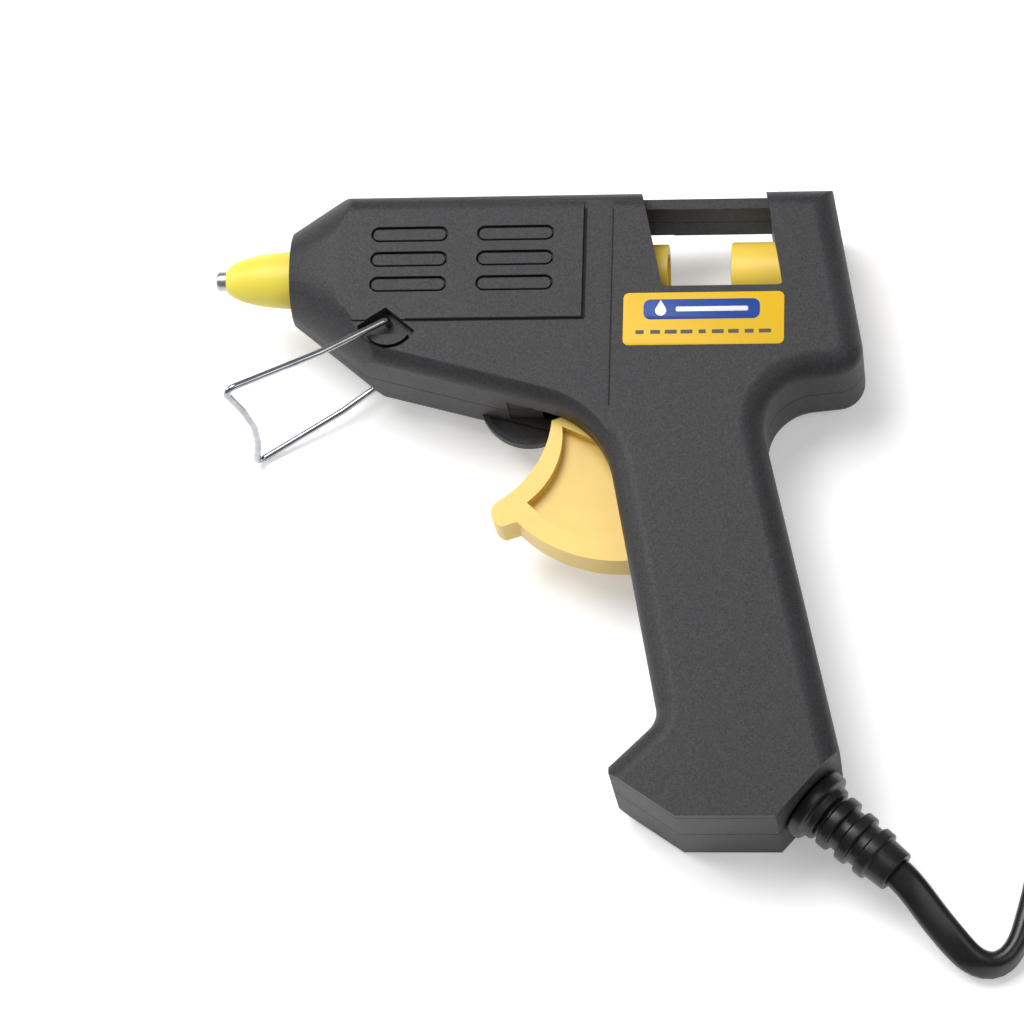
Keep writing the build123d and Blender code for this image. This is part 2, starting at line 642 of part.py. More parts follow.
def cord_clamp_screws():
    """Two small screws through the clamp bar."""
    screws = Part()
    frame = boot_frame()
    for side in (-1, 1):
        place = frame * Pos(CLAMP_OFF, side * 5.3, -CLAMP_AT)
        shank = place * Pos(-1.5, 0, 0) * Rot(0, 90, 0) * Cylinder(1.0, 5.2)
        head = place * Pos(1.7, 0, 0) * Rot(0, 90, 0) * Cylinder(1.8, 1.2)
        screws += shank + head
    return screws


def wire_path(points, radius, corner):
    """A round wire through points with rounded corners."""
    path = FilletPolyline(*points, radius=corner)
    first = Vector(*points[1]) - Vector(*points[0])
    return sweep(Plane(origin=points[0], z_dir=first) * Circle(radius), path=path)


def leads():
    """The two insulated cores from the cord's end to the heater."""
    frame = boot_frame()
    made = []
    for side in (1, -1):
        z = MID + side * 7.4
        start = frame.from_local_coords(Vector(0, side * 1.4, -TAIL))
        away = frame.from_local_coords(Vector(0, side * 1.4, -TAIL - 3.0))
        level = SLOT_TOP - SLOT_HEIGHT + 0.5 if side < 0 else SLOT_TOP - 0.5
        points = [start, away, (101.0, -84.0, z), (96.5, -60.0, z), (95.5, -36.0, z),
                  (90.0, -18.5, z), (66.0, -16.5, z), (60.0, level, MID + side * 2.5),
                  (56.0, level, MID + side * 2.5)]
        made.append(wire_path(points, LEAD_R, 2.0))
    return made


def wire_splices():
    """Crimp sleeves where the leads meet the electrode tabs."""
    sleeves = Part()
    for side in (1, -1):
        level = SLOT_TOP - SLOT_HEIGHT + 0.5 if side < 0 else SLOT_TOP - 0.5
        centre = (55.0, level, MID + side * 2.5)
        sleeve = Pos(*centre) * Rot(0, 90, 0) * Cylinder(1.3, 5.0)
        hollow = Pos(56.75, level, MID + side * 2.5) * Rot(0, 90, 0) * Cylinder(LEAD_R, 1.5)
        flat = block(52, 54.0, level - 0.2, level + 0.2, centre[2] - 1.1, centre[2] + 1.1)
        sleeves += sleeve - hollow - flat
    return sleeves


# ---------------------------------------------------------------- how it lies
def rest_angle():
    """Degrees that the gun leans back, resting on a foot and on the housing's back."""
    foot_x = STAND_PIVOT[0] - STAND_REACH * math.cos(math.radians(STAND_DROP))
    foot_z = MID - STAND_SPREAD / 2
    back_x = BACK_LOBE_X - 1.2 - EDGE_ROUND
    reach, rise = back_x - foot_x, EDGE_ROUND - foot_z
    span = math.hypot(reach, rise)
    return math.degrees(math.atan2(rise, reach) - math.asin((EDGE_ROUND - WIRE_D / 2) / span))


def gun_pieces():
    """Every piece of the gun in its own axes, by name."""
    foils, plates, element = heater_stack()
    live, neutral = leads()
    return {
        "housing_left": housing_left(), "housing_right": housing_right(),
        "housing_screws": housing_screws(), "label_plate": label_blank(0.0),
        "nozzle_tip": nozzle_tip(), "nozzle_cover": nozzle_cover(), "front_bush": front_bush(),
        "heating_chamber": heating_chamber(), "heater_insulation": foils,
        "heater_electrodes": plates, "heater_element": element, "heater_clip": heater_clip(),
        "inlet_sleeve": inlet_sleeve(), "sleeve_clamp": sleeve_clamp(),
        "stick_carriage": stick_carriage(), "bite_jaw": bite_jaw(), "jaw_pin": jaw_pin(),
        "rear_guide": rear_guide(), "trigger": trigger(), "trigger_pin": trigger_pin(),
        "return_spring": return_spring(), "stand_wire": stand_wire(),
        "strain_relief": strain_relief(), "cord_tail": cord_tail(), "cord_clamp": cord_clamp(),
        "cord_clamp_screws": cord_clamp_screws(), "lead_live": live, "lead_neutral": neutral,
        "wire_splices": wire_splices(),
    }


def lay_down(pieces):
    """The place that lays the gun on its side, with the origin under its middle."""
    lean = Rot(0, rest_angle(), 0)
    boxes = [(lean * piece).bounding_box() for name, piece in pieces.items()
             if name not in ("strain_relief", "cord_tail")]
    low = [min(tuple(box.min)[i] for box in boxes) for i in range(3)]
    high = [max(tuple(box.max)[i] for box in boxes) for i in range(3)]
    return Pos(-(low[0] + high[0]) / 2, -(low[1] + high[1]) / 2, -low[2]) * lean


# ---------------------------------------------------------------- free cord and plug
def cord_radii(points):
    """The largest arc that each corner's two runs allow."""
    radii = []
    for before, here, after in zip(points, points[1:], points[2:]):
        turn = math.radians((here - before).get_angle(after - here))
        shorter = min((here - before).length, (after - here).length)
        radii.append(0.45 * shorter / math.tan(turn / 2))
    return radii


def cord_tube(points):
    """The flat cord along a route, wide side down, with its radii printed."""
    radii = cord_radii(points)
    path = FilletPolyline(*points, radius=radii)
    first = points[1] - points[0]
    start = Plane(origin=points[0], x_dir=Vector(-first.Y, first.X, 0), z_dir=first)
    section = start * RectangleRounded(CORD_WIDTH, CORD_THICK, CORD_THICK / 2 - 0.02)
    made = sweep(section, path=path)
    share = made.volume / (section.area * path.length)
    print("cord radii", [round(r, 1) for r in radii], "length", round(path.length, 1),
          "volume share", round(share, 3))
    return made


def cord_and_plug(place):
    """The cord from the strain relief to its coil, the coil, and the plug beside it."""
    axis = [place * Pos(*boot_frame().from_local_coords(Vector(0, 0, out)))
            for out in (BOOT_LENGTH, BOOT_LENGTH + FIRST_RUN)]
    mouth, first = [end.position for end in axis]
    flat = Vector(mouth.X, mouth.Y, 0)
    route = [mouth, first] + [flat + Vector(*step) for step in CORD_ROUTE]
    centre = flat + Vector(*COIL_CENTRE, 0)
    edge = CORD_WIDTH / 2
    height = CORD_LIE + 2 * LAYER_PITCH + CORD_THICK / 2
    ring = Cylinder(COIL_OUTER + edge, height) - Cylinder(COIL_INNER - edge, height)
    ring = chamfer(ring.edges().filter_by(GeomType.CIRCLE), 1.2)
    ring = Pos(centre.X, centre.Y, height / 2) * ring
    leave = centre + Vector(-LAST_TURN_R, 0, 0)
    mouth_of_plug = leave + Vector(END_ROUTE[-1][0], PLUG_FROM_COIL, PLUG_THICK / 2)
    steps = [leave + Vector(*step) for step in END_ROUTE]
    ending = [leave + Vector(0, 0, END_ROUTE[0][2])] + steps + [mouth_of_plug]
    turns = 2 * LAYER_TURNS * math.pi * (COIL_OUTER + COIL_INNER)
    turns += math.pi * (COIL_OUTER + LAST_TURN_R)
    print("coil length", round(turns), "route", [tuple(round(c, 1) for c in p) for p in route],
          "ending", [tuple(round(c, 1) for c in p) for p in ending])
    return {
        "cord": cord_tube(route),
        "cord_coil": ring,
        "cord_end": cord_tube(ending),
        "plug_body": Pos(*mouth_of_plug) * plug_body(),
        "plug_pins": Pos(*mouth_of_plug) * plug_pins(),
    }


def plug_body():
    """A moulded two-pin plug along +Y, its cord mouth at the origin."""
    half = PLUG_WIDTH / 2
    face = make_face(Polyline(
        (4.6, 0), (5.4, 9.0), (half - 3.0, 15.5), (half, 20.0), (half, PLUG_LENGTH - 4.0),
        (half - 2.5, PLUG_LENGTH), (-half + 2.5, PLUG_LENGTH), (-half, PLUG_LENGTH - 4.0),
        (-half, 20.0), (-half + 3.0, 15.5), (-5.4, 9.0), (-4.6, 0), close=True))
    body = slab(face, -PLUG_THICK / 2, PLUG_THICK / 2)
    body = fillet(body.edges().filter_by(Axis.Z), 1.2)
    return body - plug_slopes()


def plug_slopes():
    """What the plug's thin neck leaves out of its block, above and below."""
    top = PLUG_THICK / 2
    side = make_face(Plane.YZ * Polyline(
        (-1, 4.0), (8.0, 4.6), (14.0, top), (14.0, top + 3), (-1, top + 3), close=True))
    wedge = extrude(side, PLUG_WIDTH, both=True)
    return wedge + mirror(wedge, Plane.XY)


def plug_pins():
    """Two round pins."""
    pins = Part()
    for side in (-1, 1):
        shaft = Cylinder(PLUG_PIN_R, PLUG_PIN_LENGTH - PLUG_PIN_R) + Pos(0, 0, (
            PLUG_PIN_LENGTH - PLUG_PIN_R) / 2) * Sphere(PLUG_PIN_R)
        pins += Pos(side * PLUG_PIN_SPACING / 2, PLUG_LENGTH + (
            PLUG_PIN_LENGTH - PLUG_PIN_R) / 2, 0) * Rot(-90, 0, 0) * shaft
    return pins


def main():
    """Draw every piece, lay the gun down, add its cord and write them all."""
    os.makedirs("parts", exist_ok=True)
    pieces = gun_pieces()
    place = lay_down(pieces)
    print("place", place.position, place.orientation)
    laid = {name: place * piece for name, piece in pieces.items()}
    laid.update(cord_and_plug(place))
    for name, piece in laid.items():
        export_step(piece, os.path.join("parts", name + ".step"))


main()
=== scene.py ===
"""Looks of a small hot melt glue gun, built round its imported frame.

Lengths are metres. Places on the gun are given in the gun's own axes, in millimetres:
X back from the nozzle's tip, Y up from the barrel's middle line, Z across from the right
side face to the left one. GunLay turns them into the shared frame.
"""

from __future__ import annotations

import json
import logging
import math
from dataclasses import dataclass
from enum import Enum
from typing import Any, Callable, Sequence

import bmesh
import bpy
from mathutils import Matrix, Vector

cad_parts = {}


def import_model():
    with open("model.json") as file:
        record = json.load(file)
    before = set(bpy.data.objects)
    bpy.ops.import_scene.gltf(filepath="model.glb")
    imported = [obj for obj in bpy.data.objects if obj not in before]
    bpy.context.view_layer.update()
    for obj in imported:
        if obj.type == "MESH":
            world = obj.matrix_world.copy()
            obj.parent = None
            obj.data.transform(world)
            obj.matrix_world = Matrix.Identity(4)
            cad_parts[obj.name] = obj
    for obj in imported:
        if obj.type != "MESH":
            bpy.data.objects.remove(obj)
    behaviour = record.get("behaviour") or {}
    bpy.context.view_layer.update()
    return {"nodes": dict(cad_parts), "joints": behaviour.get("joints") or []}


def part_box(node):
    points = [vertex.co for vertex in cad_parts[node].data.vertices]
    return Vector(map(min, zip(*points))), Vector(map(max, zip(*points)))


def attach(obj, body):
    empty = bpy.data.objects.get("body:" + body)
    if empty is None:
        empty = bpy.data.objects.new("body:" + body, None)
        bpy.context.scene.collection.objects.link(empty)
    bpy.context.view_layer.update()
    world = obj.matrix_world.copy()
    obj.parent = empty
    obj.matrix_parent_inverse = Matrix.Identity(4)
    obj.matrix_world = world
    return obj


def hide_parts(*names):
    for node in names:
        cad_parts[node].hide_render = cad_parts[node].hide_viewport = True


LOG = logging.getLogger("glue_gun")
MM = 0.001
BODY_WIDTH = 25.0
MID = BODY_WIDTH / 2
TRIGGER_PIVOT = Vector((78.9, -30.8, MID))
# The strain relief's mouth, and the cord's next point, in metres in the shared frame.
CORD_MOUTH = Vector((0.0674, -0.0681, 0.0118))
CORD_OUT = Vector((0.0693, -0.0697, 0.0117))
# Node, body, slot, size and steps of its edges' rounding, and the sharpness that gets it.
SOFT_PARTS: tuple[tuple[str, str, str, float, int, float], ...] = (
    ("trigger", "trigger", "orange_plastic", 0.0011, 4, 50.0),
    ("strain_relief", "body", "cord_rubber", 0.00055, 3, 35.0),
    ("housing_left", "body", "housing", 0.00022, 2, 38.0),
    ("housing_right", "body", "housing", 0.00022, 2, 38.0),
    ("stick_carriage", "carriage", "orange_plastic", 0.0003, 2, 38.0),
    ("rear_guide", "body", "orange_plastic", 0.0003, 2, 38.0))


# ---------------------------------------------------------------- shader tools
class Wire:
    """One value in a node tree; arithmetic on it adds Math nodes."""

    def __init__(self, tree: bpy.types.NodeTree, socket: bpy.types.NodeSocket) -> None:
        """Wraps a socket of a tree."""
        self.tree = tree
        self.socket = socket

    def _math(self, operation: str, first: Any, second: Any) -> "Wire":
        """Adds one Math node.

        Args:
            operation: the Math node's operation.
            first: left value, a Wire or a number.
            second: right value, a Wire or a number.

        Returns:
            The node's result.
        """
        node = self.tree.nodes.new("ShaderNodeMath")
        node.operation = operation
        for socket, value in zip(node.inputs, (first, second)):
            if isinstance(value, Wire):
                self.tree.links.new(value.socket, socket)
            else:
                socket.default_value = value
        return Wire(self.tree, node.outputs[0])

    def __add__(self, other: Any) -> "Wire":
        """Sum."""
        return self._math("ADD", self, other)

    def __radd__(self, other: Any) -> "Wire":
        """Sum, reflected."""
        return self._math("ADD", other, self)

    def __sub__(self, other: Any) -> "Wire":
        """Difference."""
        return self._math("SUBTRACT", self, other)

    def __rsub__(self, other: Any) -> "Wire":
        """Difference, reflected."""
        return self._math("SUBTRACT", other, self)

    def __mul__(self, other: Any) -> "Wire":
        """Product."""
        return self._math("MULTIPLY", self, other)

    def at_least(self, other: Any) -> "Wire":
        """The larger of the two."""
        return self._math("MAXIMUM", self, other)


class Surface:
    """A material and its node tree."""

    def __init__(self, name: str) -> None:
        """Starts a material with one Principled shader."""
        self.material = bpy.data.materials.new(name)
        self.material.use_nodes = True
        self.tree = self.material.node_tree
        self.tree.nodes.clear()
        self.shader = self.node("ShaderNodeBsdfPrincipled")
        end = self.node("ShaderNodeOutputMaterial")
        self.tree.links.new(self.shader.outputs[0], end.inputs["Surface"])
        place = self.node("ShaderNodeTexCoord")
        self.point = Wire(self.tree, place.outputs["Object"])

    def node(self, kind: str, settings: dict[str, Any] | None = None,
             values: dict[str, Any] | None = None) -> bpy.types.Node:
        """Adds a node.

        Args:
            kind: the node's type.
            settings: the node's attributes, by name.
            values: numbers, colours or wires for the node's inputs, by name.

        Returns:
            The node.
        """
        made = self.tree.nodes.new(kind)
        for name, value in (settings or {}).items():
            setattr(made, name, value)
        for name, value in (values or {}).items():
            self.put(made.inputs[name], value)
        return made

    def put(self, socket: bpy.types.NodeSocket, value: Any) -> None:
        """Sets or links one input."""
        if isinstance(value, Wire):
            self.tree.links.new(value.socket, socket)
        else:
            socket.default_value = value

    def set(self, **values: Any) -> None:
        """Sets the shader's inputs; underscores in a name stand for spaces."""
        for name, value in values.items():
            self.put(self.shader.inputs[name.replace("_", " ")], value)

    def noise(self, per_metre: float, detail: float = 2.0, stretch: Sequence[float] = (1, 1, 1),
              rough: float = 0.5) -> Wire:
        """Noise over the object's own coordinates.

        Args:
            per_metre: how many grains there are in a metre.
            detail: levels of finer grain.
            stretch: scale along each axis.
            rough: weight of the finer grain.

        Returns:
            The noise, 0 to 1.
        """
        at = self.node("ShaderNodeMapping", {}, {"Vector": self.point, "Scale": tuple(stretch)})
        made = self.node("ShaderNodeTexNoise", {"noise_dimensions": "3D"},
                         {"Vector": Wire(self.tree, at.outputs[0]), "Scale": per_metre,
                          "Detail": detail, "Roughness": rough})
        return Wire(self.tree, made.outputs["Fac"])

    def between(self, amount: Wire, low: Sequence[float], high: Sequence[float]) -> Wire:
        """A colour between two, by an amount.

        Args:
            amount: 0 gives low and 1 gives high.
            low: first colour, linear RGB.
            high: second colour, linear RGB.

        Returns:
            The mixed colour.
        """
        made = self.node("ShaderNodeMix", {"data_type": "RGBA", "clamp_factor": True})
        self.put(made.inputs[0], amount)
        made.inputs[6].default_value = (*low, 1.0)
        made.inputs[7].default_value = (*high, 1.0)
        return Wire(self.tree, made.outputs[2])

    def span(self, value: Wire, low: float, high: float, to_low: float, to_high: float) -> Wire:
        """A value's range, mapped to another and kept inside it."""
        made = self.node("ShaderNodeMapRange", {"clamp": True},
                         {"Value": value, "From Min": low, "From Max": high,
                          "To Min": to_low, "To Max": to_high})
        return Wire(self.tree, made.outputs[0])

    def measured(self, axis: int) -> Wire:
        """How far a point is along one of the gun's own axes, in millimetres."""
        inverse = GunLay.resting.matrix.inverted()
        dot = self.node("ShaderNodeVectorMath", {"operation": "DOT_PRODUCT"})
        self.put(dot.inputs[0], self.point)
        dot.inputs[1].default_value = tuple(inverse[axis][:3])
        return Wire(self.tree, dot.outputs["Value"]) + inverse[axis][3]

    def stripe(self, value: Wire, at: float, half: float) -> Wire:
        """1 on a thin line where a value is at some place, and 0 off it."""
        away = value - at
        away = away.at_least(0.0 - away)
        return self.span(away, half * 0.55, half, 1.0, 0.0)

    def within(self, value: Wire, low: float, high: float) -> Wire:
        """1 where a value is between two places."""
        return (self.span(value, low - 0.1, low, 0.0, 1.0)
                * self.span(value, high, high + 0.1, 1.0, 0.0))

    def bump(self, height: Wire, depth: float, strength: float = 1.0,
             under: Wire | None = None) -> Wire:
        """A bump from a height.

        Args:
            height: the height, 0 to 1.
            depth: what a height of 1 is, in metres.
            strength: share of the bump that shows.
            under: a bump that this one lies on.

        Returns:
            The bumped normal.
        """
        made = self.node("ShaderNodeBump", {}, {"Height": height, "Distance": depth,
                                                "Strength": strength})
        if under is not None:
            self.put(made.inputs["Normal"], under)
        return Wire(self.tree, made.outputs[0])


# ---------------------------------------------------------------- finishes
@dataclass(frozen=True)
class SparkedPlastic:
    """Charcoal plastic from a spark-eroded mould, rubbed a little smoother in patches, with
    painted shade in its grooves.
    """

    name: str = "charcoal_sparked_plastic"
    deep: tuple[float, float, float] = (0.019, 0.0182, 0.0198)
    worn: tuple[float, float, float] = (0.050, 0.048, 0.052)
    grains: float = 3600.0
    depth: float = 0.00005

    def make(self) -> bpy.types.Material:
        """The material."""
        skin = Surface(self.name)
        grain = skin.noise(self.grains, 3.0, rough=0.6)
        pits = skin.noise(self.grains * 0.45, 2.0)
        patches = skin.noise(55.0, 3.0)
        tone = skin.span(grain * 0.7 + pits * 0.3, 0.38, 0.66, 0.0, 1.0)
        cloudy = skin.span(patches, 0.3, 0.7, 0.0, 1.0)
        # Groove mask: it gives the grooves a bump and a rougher finish, and painted shade that
        # darkens their base colour.
        lines = self.grooves_and_painted_shade(skin)
        outside_grooves = 1.0 - lines
        shade = (tone * 0.75 + cloudy * 0.25) * outside_grooves
        grooves = skin.bump(outside_grooves, 0.00025, 0.8)
        # Base colour: random tone, darkened on the groove lines as painted shade.
        skin.set(Base_Color=skin.between(shade - lines * 1.6, self.deep, self.worn),
                 Roughness=0.50 + cloudy * 0.07 - tone * 0.06 + lines * 0.3,
                 Normal=skin.bump(grain, self.depth, 0.55,
                                  skin.bump(pits, self.depth * 1.6, 0.4, grooves)),
                 Specular_IOR_Level=0.27)
        return skin.material

    @staticmethod
    def grooves_and_painted_shade(skin: Surface) -> Wire:
        """The narrow grooves: between the halves, round the vent panel and at the step. Their
        mask sinks and roughens them, and darkens their base colour as painted shade.

        Args:
            skin: the surface being made.

        Returns:
            1 in a groove and 0 beside it.
        """
        panel_front, panel_end, panel_low, panel_high = 38.6, 71.75, -13.45, 8.6
        step_at, step_low, step_high = 77.0, -31.0, 8.4
        base_at, base_low, base_high = 23.0, -112.0, -97.5
        x, y, z = (skin.measured(axis) for axis in range(3))
        on_side = skin.within(z, BODY_WIDTH - 1.0, BODY_WIDTH + 1.0)
        parting = skin.stripe(z, MID, 0.17)
        panel_back = (skin.stripe(x, panel_end, 0.34)
                      * skin.within(y, panel_low + 0.05, panel_high) * on_side)
        panel_foot = (skin.stripe(y, panel_low, 0.24)
                      * skin.within(x, panel_front, panel_end + 0.15) * on_side)
        step = skin.stripe(x, step_at, 0.16) * skin.within(y, step_low, step_high) * on_side
        base = skin.stripe(z, base_at, 0.15) * skin.within(y, base_low, base_high)
        return parting.at_least(panel_back).at_least(panel_foot).at_least(step).at_least(base)


@dataclass(frozen=True)
class MouldedPlastic:
    """Smooth coloured plastic with faint flow marks and a soft glow in thin walls."""

    name: str
    colour: tuple[float, float, float]
    pale: tuple[float, float, float]
    rough: float = 0.33
    glow: float = 0.15

    def make(self) -> bpy.types.Material:
        """The material."""
        skin = Surface(self.name)
        flow = skin.noise(70.0, 4.0, (1.0, 3.0, 1.0))
        grain = skin.noise(2600.0, 2.0)
        amount = skin.span(flow, 0.3, 0.7, 0.0, 1.0)
        skin.set(Base_Color=skin.between(amount, self.colour, self.pale),
                 Roughness=self.rough + amount * 0.05 + grain * 0.05,
                 Normal=skin.bump(grain, 0.00001, 0.5),
                 Subsurface_Weight=self.glow, Subsurface_Scale=0.0015,
                 Subsurface_Radius=(1.0, 0.55, 0.15))
        return skin.material


@dataclass(frozen=True)
class Metal:
    """A metal with fine lines left by drawing, turning or casting."""

    name: str
    colour: tuple[float, float, float]
    dull: tuple[float, float, float]
    rough: float
    lines: float = 1800.0
    stretch: tuple[float, float, float] = (0.08, 1.0, 1.0)
    depth: float = 0.000004

    def make(self) -> bpy.types.Material:
        """The material."""
        skin = Surface(self.name)
        lines = skin.noise(self.lines, 3.0, self.stretch)
        stain = skin.span(skin.noise(220.0, 3.0), 0.35, 0.75, 0.0, 1.0)
        skin.set(Base_Color=skin.between(stain, self.colour, self.dull), Metallic=1.0,
                 Roughness=self.rough + stain * 0.08 + lines * 0.05,
                 Normal=skin.bump(lines, self.depth, 0.5))
        return skin.material


@dataclass(frozen=True)
class FlexiblePvc:
    """Glossy black cord sheath, with the faint lengthwise drag of its extrusion."""

    name: str = "black_cord_pvc"
    colour: tuple[float, float, float] = (0.0065, 0.0065, 0.007)
    dusty: tuple[float, float, float] = (0.016, 0.016, 0.0165)
    rough: float = 0.24

    def make(self) -> bpy.types.Material:
        """The material."""
        skin = Surface(self.name)
        dust = skin.span(skin.noise(160.0, 4.0), 0.4, 0.75, 0.0, 1.0)
        drag = skin.noise(1500.0, 2.0)
        skin.set(Base_Color=skin.between(dust, self.colour, self.dusty),
                 Roughness=self.rough + dust * 0.12 + drag * 0.06,
                 Normal=skin.bump(drag, 0.00001, 0.5), Specular_IOR_Level=0.4)
        return skin.material


@dataclass(frozen=True)
class PlainSolid:
    """Any other solid: a coloured base with grain of its own size."""

    name: str
    colour: tuple[float, float, float]
    other: tuple[float, float, float]
    rough: float
    grains: float = 900.0
    depth: float = 0.00002
    coat: float = 0.0

    def make(self) -> bpy.types.Material:
        """The material."""
        skin = Surface(self.name)
        grain = skin.noise(self.grains, 4.0)
        amount = skin.span(grain, 0.3, 0.7, 0.0, 1.0)
        skin.set(Base_Color=skin.between(amount, self.colour, self.other),
                 Roughness=self.rough + amount * 0.08,
                 Normal=skin.bump(grain, self.depth, 0.5), Coat_Weight=self.coat)
        return skin.material


class Finish(Enum):
    """Every finish on the gun."""

    HOUSING = SparkedPlastic()
    TRIGGER = MouldedPlastic("orange_trigger_plastic", (0.80, 0.54, 0.09), (0.84, 0.60, 0.13))
    GUIDE = MouldedPlastic("orange_guide_plastic", (0.93, 0.62, 0.07), (0.95, 0.68, 0.10),
                           0.36, 0.1)
    COVER = MouldedPlastic("yellow_silicone", (0.80, 0.66, 0.05), (0.84, 0.71, 0.09), 0.42, 0.2)
    CHROME = Metal("bright_wire_plating", (0.46, 0.47, 0.50), (0.30, 0.31, 0.34), 0.10)
    STEEL = Metal("zinc_plated_steel", (0.60, 0.60, 0.62), (0.45, 0.45, 0.47), 0.30)
    BRASS = Metal("turned_brass", (0.72, 0.55, 0.28), (0.52, 0.38, 0.18), 0.28)
    TIP = Metal("nickelled_tip", (0.62, 0.63, 0.66), (0.40, 0.40, 0.43), 0.26)
    CAST = Metal("cast_aluminium", (0.66, 0.66, 0.68), (0.48, 0.48, 0.50), 0.45, 500.0,
                 (1.0, 1.0, 1.0), 0.00004)
    PIN = Metal("nickelled_pin", (0.74, 0.70, 0.62), (0.58, 0.55, 0.48), 0.22)
    CORD = FlexiblePvc()
    FILM = PlainSolid("yellow_label_film", (0.76, 0.46, 0.001), (0.78, 0.48, 0.003), 0.5,
                      2400.0, 0.000004)
    BADGE = PlainSolid("blue_badge_print", (0.001, 0.045, 0.28), (0.002, 0.055, 0.32), 0.5,
                       2400.0, 0.000004)
    WHITE = PlainSolid("white_print", (0.86, 0.86, 0.86), (0.80, 0.80, 0.80), 0.35, 2400.0,
                       0.000004)
    INK = PlainSolid("dark_print", (0.025, 0.022, 0.02), (0.05, 0.045, 0.04), 0.4, 2400.0,
                     0.000004)
    CERAMIC = PlainSolid("fired_ceramic", (0.78, 0.75, 0.69), (0.68, 0.64, 0.58), 0.55)
    MICA = PlainSolid("mica_board", (0.50, 0.38, 0.20), (0.34, 0.25, 0.13), 0.4, 600.0)
    SLEEVE = PlainSolid("red_silicone", (0.62, 0.10, 0.05), (0.50, 0.07, 0.035), 0.45)
    BROWN = PlainSolid("brown_core", (0.16, 0.065, 0.025), (0.12, 0.05, 0.02), 0.35)
    BLUE = PlainSolid("blue_core", (0.02, 0.09, 0.42), (0.015, 0.07, 0.35), 0.35)

    def material(self) -> bpy.types.Material:
        """This finish's material, made once."""
        return bpy.data.materials.get(self.value.name) or self.value.make()


NODE_FINISHES: dict[str, Finish] = {
    "housing_left": Finish.HOUSING, "housing_right": Finish.HOUSING,
    "housing_screws": Finish.STEEL, "nozzle_tip": Finish.TIP, "nozzle_cover": Finish.COVER,
    "front_bush": Finish.MICA, "heating_chamber": Finish.CAST, "heater_insulation": Finish.MICA,
    "heater_electrodes": Finish.BRASS, "heater_element": Finish.CERAMIC,
    "heater_clip": Finish.STEEL, "inlet_sleeve": Finish.SLEEVE, "sleeve_clamp": Finish.STEEL,
    "stick_carriage": Finish.GUIDE, "bite_jaw": Finish.STEEL, "jaw_pin": Finish.STEEL,
    "rear_guide": Finish.GUIDE, "trigger": Finish.TRIGGER, "trigger_pin": Finish.STEEL,
    "return_spring": Finish.STEEL, "stand_wire": Finish.CHROME, "strain_relief": Finish.CORD,
    "cord_tail": Finish.CORD, "cord_clamp": Finish.HOUSING, "cord_clamp_screws": Finish.STEEL,
    "lead_live": Finish.BROWN, "lead_neutral": Finish.BLUE, "wire_splices": Finish.BRASS,
    "plug_body": Finish.CORD, "plug_pins": Finish.PIN,
}


# ---------------------------------------------------------------- frame
class GunLay:
    """How the gun lies in the shared frame."""

    resting: "GunLay"

    def __init__(self, joints: list[dict[str, Any]]) -> None:
        """Works out the turn and the shift from the trigger's hinge."""
        hinge = next(joint for joint in joints if joint["name"] == "trigger_pull")
        axis = Vector(hinge["axis"])
        turn = Matrix.Rotation(math.atan2(axis.x, axis.z), 4, "Y")
        shift = Vector(hinge["pos_m"]) - turn @ (TRIGGER_PIVOT * MM)
        self.matrix = Matrix.Translation(shift) @ turn @ Matrix.Scale(MM, 4)

    def at(self, x: float, y: float, z: float) -> Vector:
        """A place on the gun, in the shared frame."""
        return self.matrix @ Vector((x, y, z))

    def way(self, x: float, y: float, z: float) -> Vector:
        """A direction on the gun, in the shared frame."""
        return (self.matrix.to_3x3() @ Vector((x, y, z))).normalized()


def new_piece(name: str, mesh: bpy.types.Mesh, finish: Finish, body: str
              ) -> bpy.types.Object:
    """Makes an object of a mesh that is already in place, and puts it on a body.

    Args:
        name: the piece's name.
        mesh: its mesh, in the shared frame.
        finish: what it is finished in.
        body: the body that it moves with.

    Returns:
        The object.
    """
    piece = bpy.data.objects.new(name, mesh)
    bpy.context.scene.collection.objects.link(piece)
    mesh.materials.clear()
    mesh.materials.append(finish.material())
    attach(piece, body)
    LOG.info("%s: %d faces on %s", name, len(mesh.polygons), body)
    return piece


def closed(shape: bmesh.types.BMesh, name: str, smooth: float | None = None) -> bpy.types.Mesh:
    """Turns a bmesh into a mesh whose faces point outwards.

    Args:
        shape: the shape; it is freed.
        name: the mesh's name.
        smooth: edges sharper than this many degrees stay sharp; None leaves it flat.

    Returns:
        The mesh.
    """
    bmesh.ops.remove_doubles(shape, verts=shape.verts[:], dist=1e-7)
    bmesh.ops.recalc_face_normals(shape, faces=shape.faces[:])
    mesh = bpy.data.meshes.new(name)
    shape.to_mesh(mesh)
    shape.free()
    if smooth is not None:
        mesh.shade_smooth()
        mesh.set_sharp_from_angle(angle=math.radians(smooth))
    return mesh


def rounded_corners(width: float, height: float, corner: float, steps: int = 6
                    ) -> list[tuple[float, float]]:
    """The outline of a rounded rectangle about the origin."""
    points = []
    for turn, (sx, sy) in enumerate(((1, 1), (-1, 1), (-1, -1), (1, -1))):
        for step in range(steps + 1):
            angle = math.pi / 2 * (turn + step / steps)
            points.append((sx * (width / 2 - corner) + corner * math.cos(angle),
                           sy * (height / 2 - corner) + corner * math.sin(angle)))
    return points


